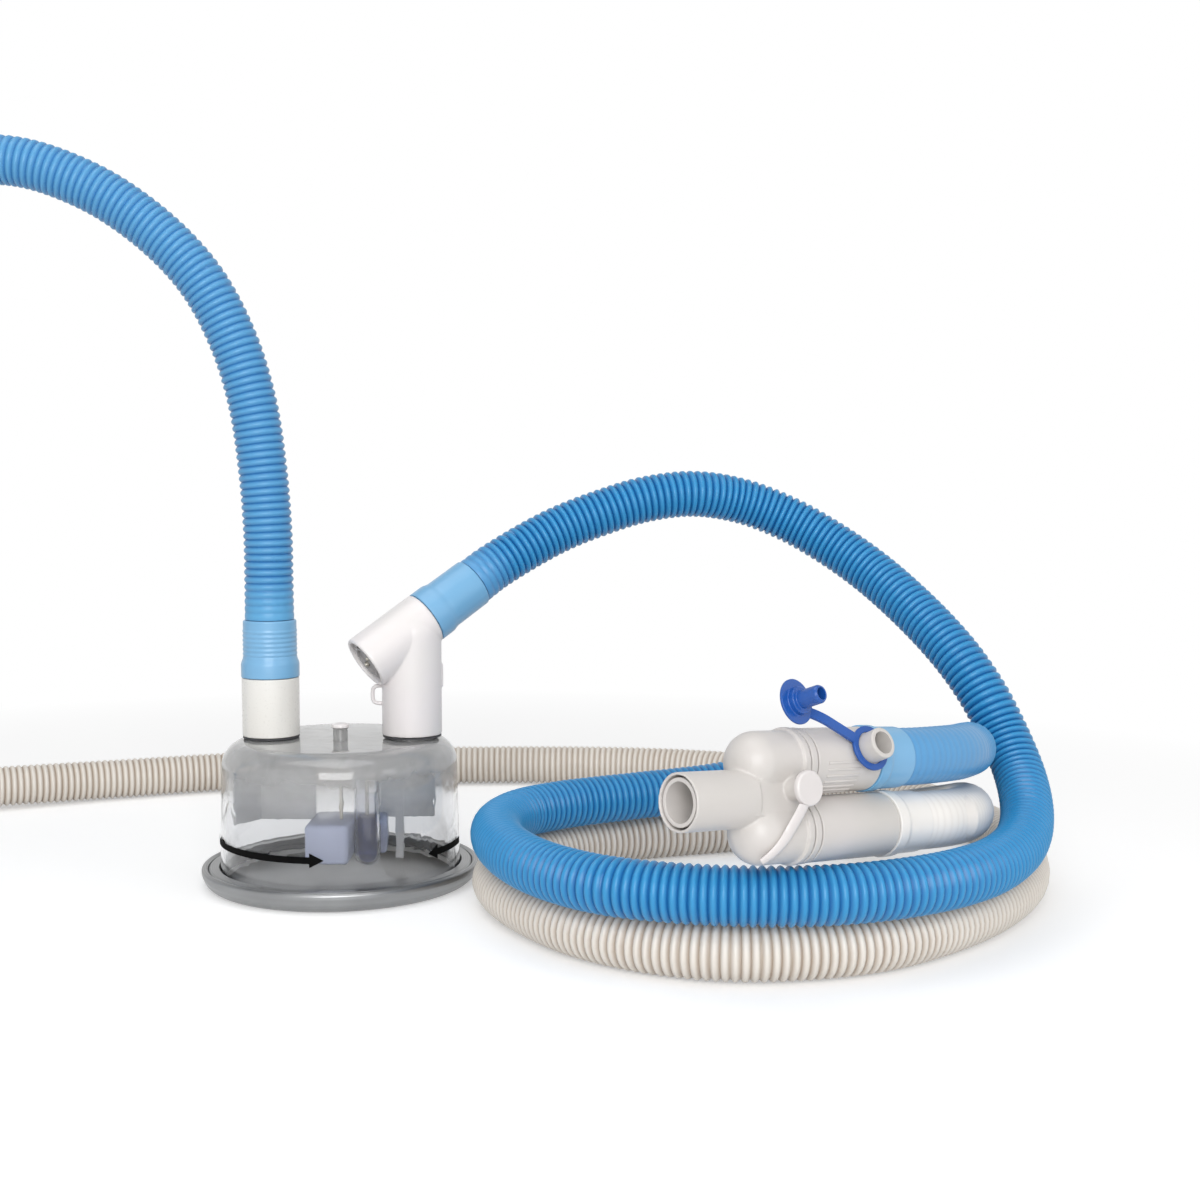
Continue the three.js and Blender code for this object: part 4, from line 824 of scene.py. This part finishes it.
loop = bpy.data.curves.new("plug_loop_line", "CURVE")
loop.dimensions, loop.bevel_depth, loop.bevel_resolution = "3D", 0.95 * MM, 4
strand = loop.splines.new("POLY")
outline = [(20.6, 86.7), (17.9, 86.6), (16.3, 87.6), (15.95, 89.4), (15.95, 92.4), (16.3, 94.4),
           (17.9, 95.4), (20.6, 95.3)]
strand.points.add(len(outline) - 1)
for point, (x, z) in zip(strand.points, outline):
    point.co = (x * MM, 0, z * MM, 1)
strand.type = "NURBS"
strand.use_endpoint_u, strand.order_u = True, 4
loop.resolution_u = 10
loop.use_fill_caps = True
plug_loop = bpy.data.objects.new("plug_loop_line", loop)
scene.collection.objects.link(plug_loop)
bar = bpy.data.objects.new("plug_loop", bpy.data.meshes.new_from_object(
    plug_loop.evaluated_get(bpy.context.evaluated_depsgraph_get())))
bpy.data.objects.remove(plug_loop)
scene.collection.objects.link(bar)
face_out(bar, weld=0.02)
smooth(bar, 60)
finish(bar, pale, ["elbow_clip"])

# ---- Heated limb ----
# Blue corrugated hose, 1.17 m from end to end, with the heater wire inside it. A soft cuff grips
# the elbow's nose, and another one grips the upper limb of the Y-piece.
heated_cuff = soft_cuff("heated_limb_elbow_cuff", 13.3, 12.3, 30, ON_ARM @ at(z=ARM_TOP + GAP))
finish(heated_cuff, cuff_blue, ["heated_limb_cuff"])
HEATED_ROUTE = [
    (64.05, 16.1, 144.57), (73.88, 21.55, 151.86), (102.7, 34.5, 168.3), (126, 41.5, 177.6),
    (149.9, 47.5, 184.6), (174.6, 53, 187.1), (199.2, 58.5, 183.2), (222.4, 58, 174.3),
    (243.8, 51, 162), (262.4, 39.5, 148.4), (278.4, 24, 133.4), (292.3, 8, 117.7),
    (301.8, -3.5, 104.5), (310, -13, 90), (317, -23, 73), (320.5, -38, 57.5), (318, -60, 46),
    (308.5, -88, 39), (291, -118, 36.5), (270, -141.5, 36.4), (244, -158.5, 36.4),
    (214, -169, 36.4), (184, -170.5, 36.4), (155, -165.5, 36.4), (127, -153, 36.4),
    (105, -131, 36.4), (90, -104, 36.4), (80.5, -70, 36.4), (80, -42, 36.4), (89, -16.5, 36.4),
    (110, 4.5, 36.4), (144, 25, 36.4), (178, 41, 37.2), (209, 47.5, 41), (236, 43, 46.5),
    (258, 29.5, 52), (275, 10, 57.5), (286, -11, 63.5), (291.5, -34, 69.5), (291.5, -58, 74.5),
    (285.5, -81, 78), (275, -102, 80.2), (255.52, -121.8, 82.16), (245, -130.02, 83.21)]
# Crest tone, then painted shade for the grooves, then the plain tone.
hose_blue = hose_plastic(
    "heated_hose_blue", (0.030, 0.285, 0.585), (0.004, 0.095, 0.32), (0.11, 0.34, 0.63), 0.36)
heated_limb, heated_path = hose(
    "heated_breathing_limb", HEATED_ROUTE, hose_blue, Rib_Pitch=0.00358, Crest_Radius=0.0118,
    Groove_Depth=0.0016, Fullness=2.0, Plain_End=0.052)
finish(heated_limb, hose_blue, ["heated_limb"])

# ---- Y-piece ----
# The patient's connector. Two round-fronted lobes run into one 22 mm tube with a 15 mm sleeve in
# it, and each limb turns in its lobe behind a ring.
LIMB, LIMB_BACK, LIMB_SLEEVE, LIMB_OUT = 13.1, 61.1, 10.9, 12.7
LOBE, LOBE_BACK, UPPER_END, LOWER_END = 12.1, 56.3, 96, 104
WYE = (at(154, -204, 79.5) @ Matrix.Rotation(math.radians(38), 4, "Z")
       @ Matrix.Rotation(math.radians(4.5), 4, "Y") @ Matrix.Rotation(math.radians(-10), 4, "X"))


def on_limb(z):
    """A level in the Y-piece, with +Z from the patient's end along its limbs."""
    return WYE @ at(0, 0, z) @ facing(Vector((1, 0, 0)))


MONITOR = WYE @ at(49, 0, 2.8) @ facing(Vector((0, -1, 0)))
wye_pale = moulded("wye_plastic", (0.60, 0.575, 0.545), (0.64, 0.605, 0.585), 0.42, shine=0.12)


def lobe_outline(radius, front, round_off, back, collar=0.0):
    """Half the section of a lobe: a round front, and a collar at its back if it has one."""
    outside = [(radius, back - 3), (radius + collar, back - 3)] if collar else []
    nose = arc(radius - round_off, front + round_off, round_off, -90, 0, 12)
    return [(0, front), *nose, *outside, (radius + collar, back), (0, back)]


body = rod(CONE, 0, 32, place=on_limb(0))
body.name = "y_body"
lobes = [turned("tool", lobe_outline(LOBE, 28, 11, LOBE_BACK, 1.1), 96, on_limb(z), 0)
         for z in (LIMB, -LIMB)]
web = block("tool", (30, -9.4, -LIMB / 2), (LOBE_BACK - 0.1, 9.4, LIMB / 2), 0, WYE)
stub = rod(4.6, 0, 16.5, sides=40, place=MONITOR)
hollows = [turned("tool", lobe_outline(LOBE - 0.9, 30, 10, LOBE_BACK + 1), 96, on_limb(z), 0)
           for z in (LIMB, -LIMB)]
port = rod(10, -1, 20.3, place=on_limb(0))
throat = turned("tool", [
    (0, 19), (BORE, 19), (BORE, 31), (7.4, 33), (7.4, 42), (0, 42)], 96, on_limb(0), 0)
monitor_bore = rod(2.9, 4, 17.5, sides=40, place=MONITOR)
combine(body, [*lobes, web, stub], [*hollows, port, throat, monitor_bore])
melted(body, 0.5, 1)
finish(body, wye_pale, ["wye_front_body"])
sleeve = turned("patient_sleeve", [
    (7.6, 0.6), (9.1, 0.6), (9.1, 18.4), (9.7, 18.4), (9.7, 20), (7.6, 20)], 96, on_limb(0), 0.3)
finish(sleeve, wye_pale, ["wye_inner_sleeve"])
for name, z in (("wye_upper_ring", LIMB), ("wye_lower_ring", -LIMB)):
    ring = turned(f"{name}_turned", [
        (11.2, 57.1), (12.95, 57.1), (12.95, 60.2), (11.2, 60.2)], 96, on_limb(z), 0.5)
    finish(ring, wye_pale, [name])


def limb_outline(end):
    """Half the section of a limb: it turns in its lobe, and its cone starts at the end given."""
    return [(BORE, 46), (LIMB_SLEEVE, 46), (LIMB_SLEEVE, LIMB_BACK), (LIMB_OUT, LIMB_BACK),
            (LIMB_OUT, end), (CONE, end), (CONE, end + CONE_LENGTH), (BORE, end + CONE_LENGTH)]


lower = turned("lower_limb", limb_outline(LOWER_END), 96, on_limb(-LIMB), 0.4)
finish(lower, wye_pale, ["wye_lower_sleeve"])


def grip_row():
    """A tree that sets lengthwise ribs side by side round part of a tube about +Z."""
    tree, given = open_tree("grip_row", {
        "Count": 7, "Tube Radius": 0.0126, "First Bearing": 0.0, "Step": 0.16})
    row = add(tree, "GeometryNodeMeshLine", {
        "Count": given["Count"], "Offset": (0, 0, 0)}).outputs[0]
    index = add(tree, "GeometryNodeInputIndex").outputs[0]
    turn = reckon(tree, "MULTIPLY_ADD", index, given["Step"], given["First Bearing"])
    out = add(tree, "ShaderNodeCombineXYZ", {
        "X": reckon(tree, "COSINE", turn), "Y": reckon(tree, "SINE", turn)}).outputs[0]
    spot = add(tree, "ShaderNodeVectorMath", {
        0: out, "Scale": given["Tube Radius"]}, operation="SCALE").outputs[0]
    row = add(tree, "GeometryNodeSetPosition", {"Geometry": row, "Position": spot}).outputs[0]
    heading = add(tree, "ShaderNodeCombineXYZ", {"Z": turn}).outputs[0]
    ribs = add(tree, "GeometryNodeInstanceOnPoints", {
        "Points": row, "Instance": given["Shape"], "Rotation": heading}).outputs[0]
    return close_tree(tree, ribs, given["Finish"])


grips = block("upper_limb_grips", (-0.3, -0.55, 66), (0.5, 0.55, 84), 0.35)
grow(grips, grip_row(), First_Bearing=math.radians(276), Step=math.radians(12), Finish=wye_pale)
put(grips, on_limb(LIMB))
smooth(grips, 40)
finish(grips, wye_pale)

PROBE_FOOT, PROBE_RISE = Vector((88, 0, LIMB)), math.radians(15)
PROBE_WAY = Vector((0, -math.cos(PROBE_RISE), math.sin(PROBE_RISE)))
PROBE = WYE @ at(*PROBE_FOOT) @ facing(PROBE_WAY)
upper = turned("upper_limb", limb_outline(UPPER_END), 96, on_limb(LIMB), 0.4)
port = turned("tool", [(0, 9.8), (6.1, 9.8), (6.1, 21.7), (0, 21.7)], 64, PROBE, 0.5)
combine(upper, [port], [rod(4.5, 4, 22.7, sides=48, place=PROBE)])
smooth(upper, 35)
finish(upper, wye_pale, ["wye_upper_sleeve"])

white_cuff_finish = moulded("white_cuff", (0.84, 0.815, 0.78), (0.87, 0.85, 0.82), 0.32, shine=0.2)
blue_cuff = soft_cuff("y_blue_cuff", 13.3, 12.4, 20, on_limb(LIMB) @ at(z=UPPER_END + GAP))
finish(blue_cuff, cuff_blue, ["wye_blue_cuff"])
white_cuff = soft_cuff("y_white_cuff", 13.3, 12.4, 20, on_limb(-LIMB) @ at(z=LOWER_END + GAP))
finish(white_cuff, white_cuff_finish, ["wye_white_cuff"])

# ---- Probe cap and its strap ----
# A royal-blue cap on a flat strap, moulded in one with the eye that sits round the temperature
# port. It hangs open, and its strap bends where the cap is pushed home.
royal = moulded("cap_blue", (0.008, 0.078, 0.35), (0.012, 0.092, 0.39), 0.33, shine=0.15)
HINGE_REACH, HINGE_DROP, CAP_SEAT, OPEN = 19, 6.3, 24.5, 172
strap_way = Matrix.Rotation(math.radians(-30), 3, PROBE_WAY) @ Vector((-1, 0, 0))
hinge_axis = strap_way.cross(PROBE_WAY)
hinge = PROBE_FOOT + PROBE_WAY * (CAP_SEAT - HINGE_DROP) + strap_way * HINGE_REACH
closed_cap = PROBE_FOOT + PROBE_WAY * CAP_SEAT
swing = at(*hinge) @ Matrix.Rotation(math.radians(-OPEN), 4, hinge_axis) @ at(*-hinge)
CAP = WYE @ swing @ at(*closed_cap) @ facing(-PROBE_WAY)
cap = turned("temperature_port_cap", [
    (0, -2), (7.7, -2), (8.9, -1), (8.9, 0), (5.4, 0), (5.4, 2.5), (3.6, 2.5), (3.6, 11), (3, 12),
    (2.4, 12), (2.4, 6), (0, 6)], 80, CAP, 0.45)
finish(cap, royal, ["probe_cap"], "probe_cap_body")

STRAP_LEVEL, STRAP_THICK, STRAP_REACH = 13.7, 1.3, 7.5
side = PROBE_WAY.cross(strap_way)
STRAP = WYE @ at(*PROBE_FOOT + PROBE_WAY * STRAP_LEVEL) @ Matrix((
    (*strap_way, 0), (*side, 0), (*PROBE_WAY, 0), (0, 0, 0, 1))).transposed()
eye = turned("cap_eye", [
    (6.4, 0), (9, 0), (9, STRAP_THICK), (6.4, STRAP_THICK)], 80, STRAP, 0.35)
half = STRAP_THICK / 2
runs = [(STRAP_REACH + 1.1 * k, half - 1.55 * max(0, (k - 13) / 8) ** 2) for k in range(22)]
corners = ((-2, -half), (2, -half), (2, half), (-2, half))
strap = loft("tool", [
    [STRAP @ Vector((s, y, n + lift)) for y, lift in corners] for s, n in runs])
combine(eye, [strap])
smooth(eye, 35)
finish(eye, royal, ["probe_cap_strap"], None)
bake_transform(eye)

# ---- Monitoring-port cap and its strap ----
# A pale cap, pushed into the small port between the lobes. Its strap is moulded with it and wraps
# the lower lobe.
cap_pale = moulded("small_cap_plastic", (0.70, 0.665, 0.655), (0.74, 0.70, 0.69), 0.36, shine=0.1)
small_cap = turned("monitoring_port_cap", [
    (0, 13.4), (2.1, 13.4), (2.1, 16.8), (6.7, 16.8), (6.7, 18.6), (6.1, 19.2), (0, 19.2)],
    64, MONITOR, 0.35)
finish(small_cap, cap_pale, ["monitor_cap"], "monitor_cap_body")


def strap_route():
    """Middle points of the strap and the way out from the lobe at each, in the Y-piece's frame."""
    free = [(46, -17.9, -3.4), (45.3, -16.9, -5.6), (44.3, -15.6, -8.2), (43.2, -14.4, -10.8)]
    route = [(Vector(p), Vector((0, -1, 0.15)).normalized()) for p in free]
    for k in range(15):
        angle = math.radians(-1 - 3.6 * k)
        out = Vector((0, -math.cos(angle), math.sin(angle)))
        route.append((Vector((42.2 - 0.72 * k, 0, -LIMB)) + out * 13.05, out))
    return route


HALF_WIDTH, HALF_THICK, SIDES = 2.3, 1, 12
turns = [2 * math.pi * j / SIDES for j in range(SIDES)]
route = strap_route()
rings = []
for k, (place, out) in enumerate(route):
    run = route[min(k + 1, len(route) - 1)][0] - route[max(k - 1, 0)][0]
    wide, thick = run.cross(out).normalized() * HALF_WIDTH, out * HALF_THICK
    rings.append([WYE @ (place + wide * math.cos(t) + thick * math.sin(t)) for t in turns])
small_strap = loft("monitoring_cap_strap", rings)
smooth(small_strap, 50)
finish(small_strap, cap_pale, ["monitor_cap_strap"], None)
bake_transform(small_strap)

# ---- Expiratory limb ----
# Cream corrugated hose, 1.6 m long. It leaves the lower limb of the Y-piece, turns once round under
# the blue hose, passes behind the chamber and ends in the ventilator's cuff.
# Crest tone, then painted shade for the grooves, then the plain tone.
hose_cream = hose_plastic(
    "hose_cream", (0.82, 0.77, 0.70), (0.36, 0.27, 0.20), (0.90, 0.875, 0.84), 0.36)
EXPIRATORY_ROUTE = [
    (252.49, -129.94, 56.86), (263.01, -121.72, 55.81), (277, -103, 53.2), (286.5, -79, 50),
    (291, -52, 46), (291.5, -27, 40.5), (287, -3, 34.5), (276, 20, 28), (257, 41, 21.5),
    (233, 54.5, 16), (206, 58.5, 12.6), (170, 48.5, 12.2), (134, 34, 12.2), (105, 14, 12.2),
    (86, -12, 12.2), (79, -43, 12.2), (84, -71, 12.2), (97, -100, 12.2), (118, -130, 12.2),
    (145, -151, 12.2), (175, -161.5, 12.2), (206, -160, 12.2), (237, -149, 12.2),
    (268, -125, 12.2), (295, -94, 12.2), (316, -57, 12.2), (328, -17, 12.2), (333, 26, 12.2),
    (328, 70, 12.2), (314, 113, 12.2), (291, 152, 12.2), (260, 188.5, 12.2), (207, 225, 12.2),
    (150, 243, 12.2), (87, 247.5, 12.2), (20, 245, 12.2), (-46, 236.5, 12.2), (-111, 221, 12.2),
    (-168, 198, 12.3), (-215, 174.5, 13.2), (-250, 157, 14)]
white_limb, white_path = hose(
    "expiratory_breathing_limb", EXPIRATORY_ROUTE, hose_cream, Rib_Pitch=0.00356,
    Crest_Radius=0.0118, Groove_Depth=0.0015, Fullness=2.0, Plain_Start=0.075, Plain_Depth=0.0,
    Sides=24)
finish(white_limb, hose_cream, ["expiratory_limb"])
white_end = machine_cuff("expiratory_machine_cuff", EXPIRATORY_ROUTE, cream,
                         "expiratory_end_cuff")
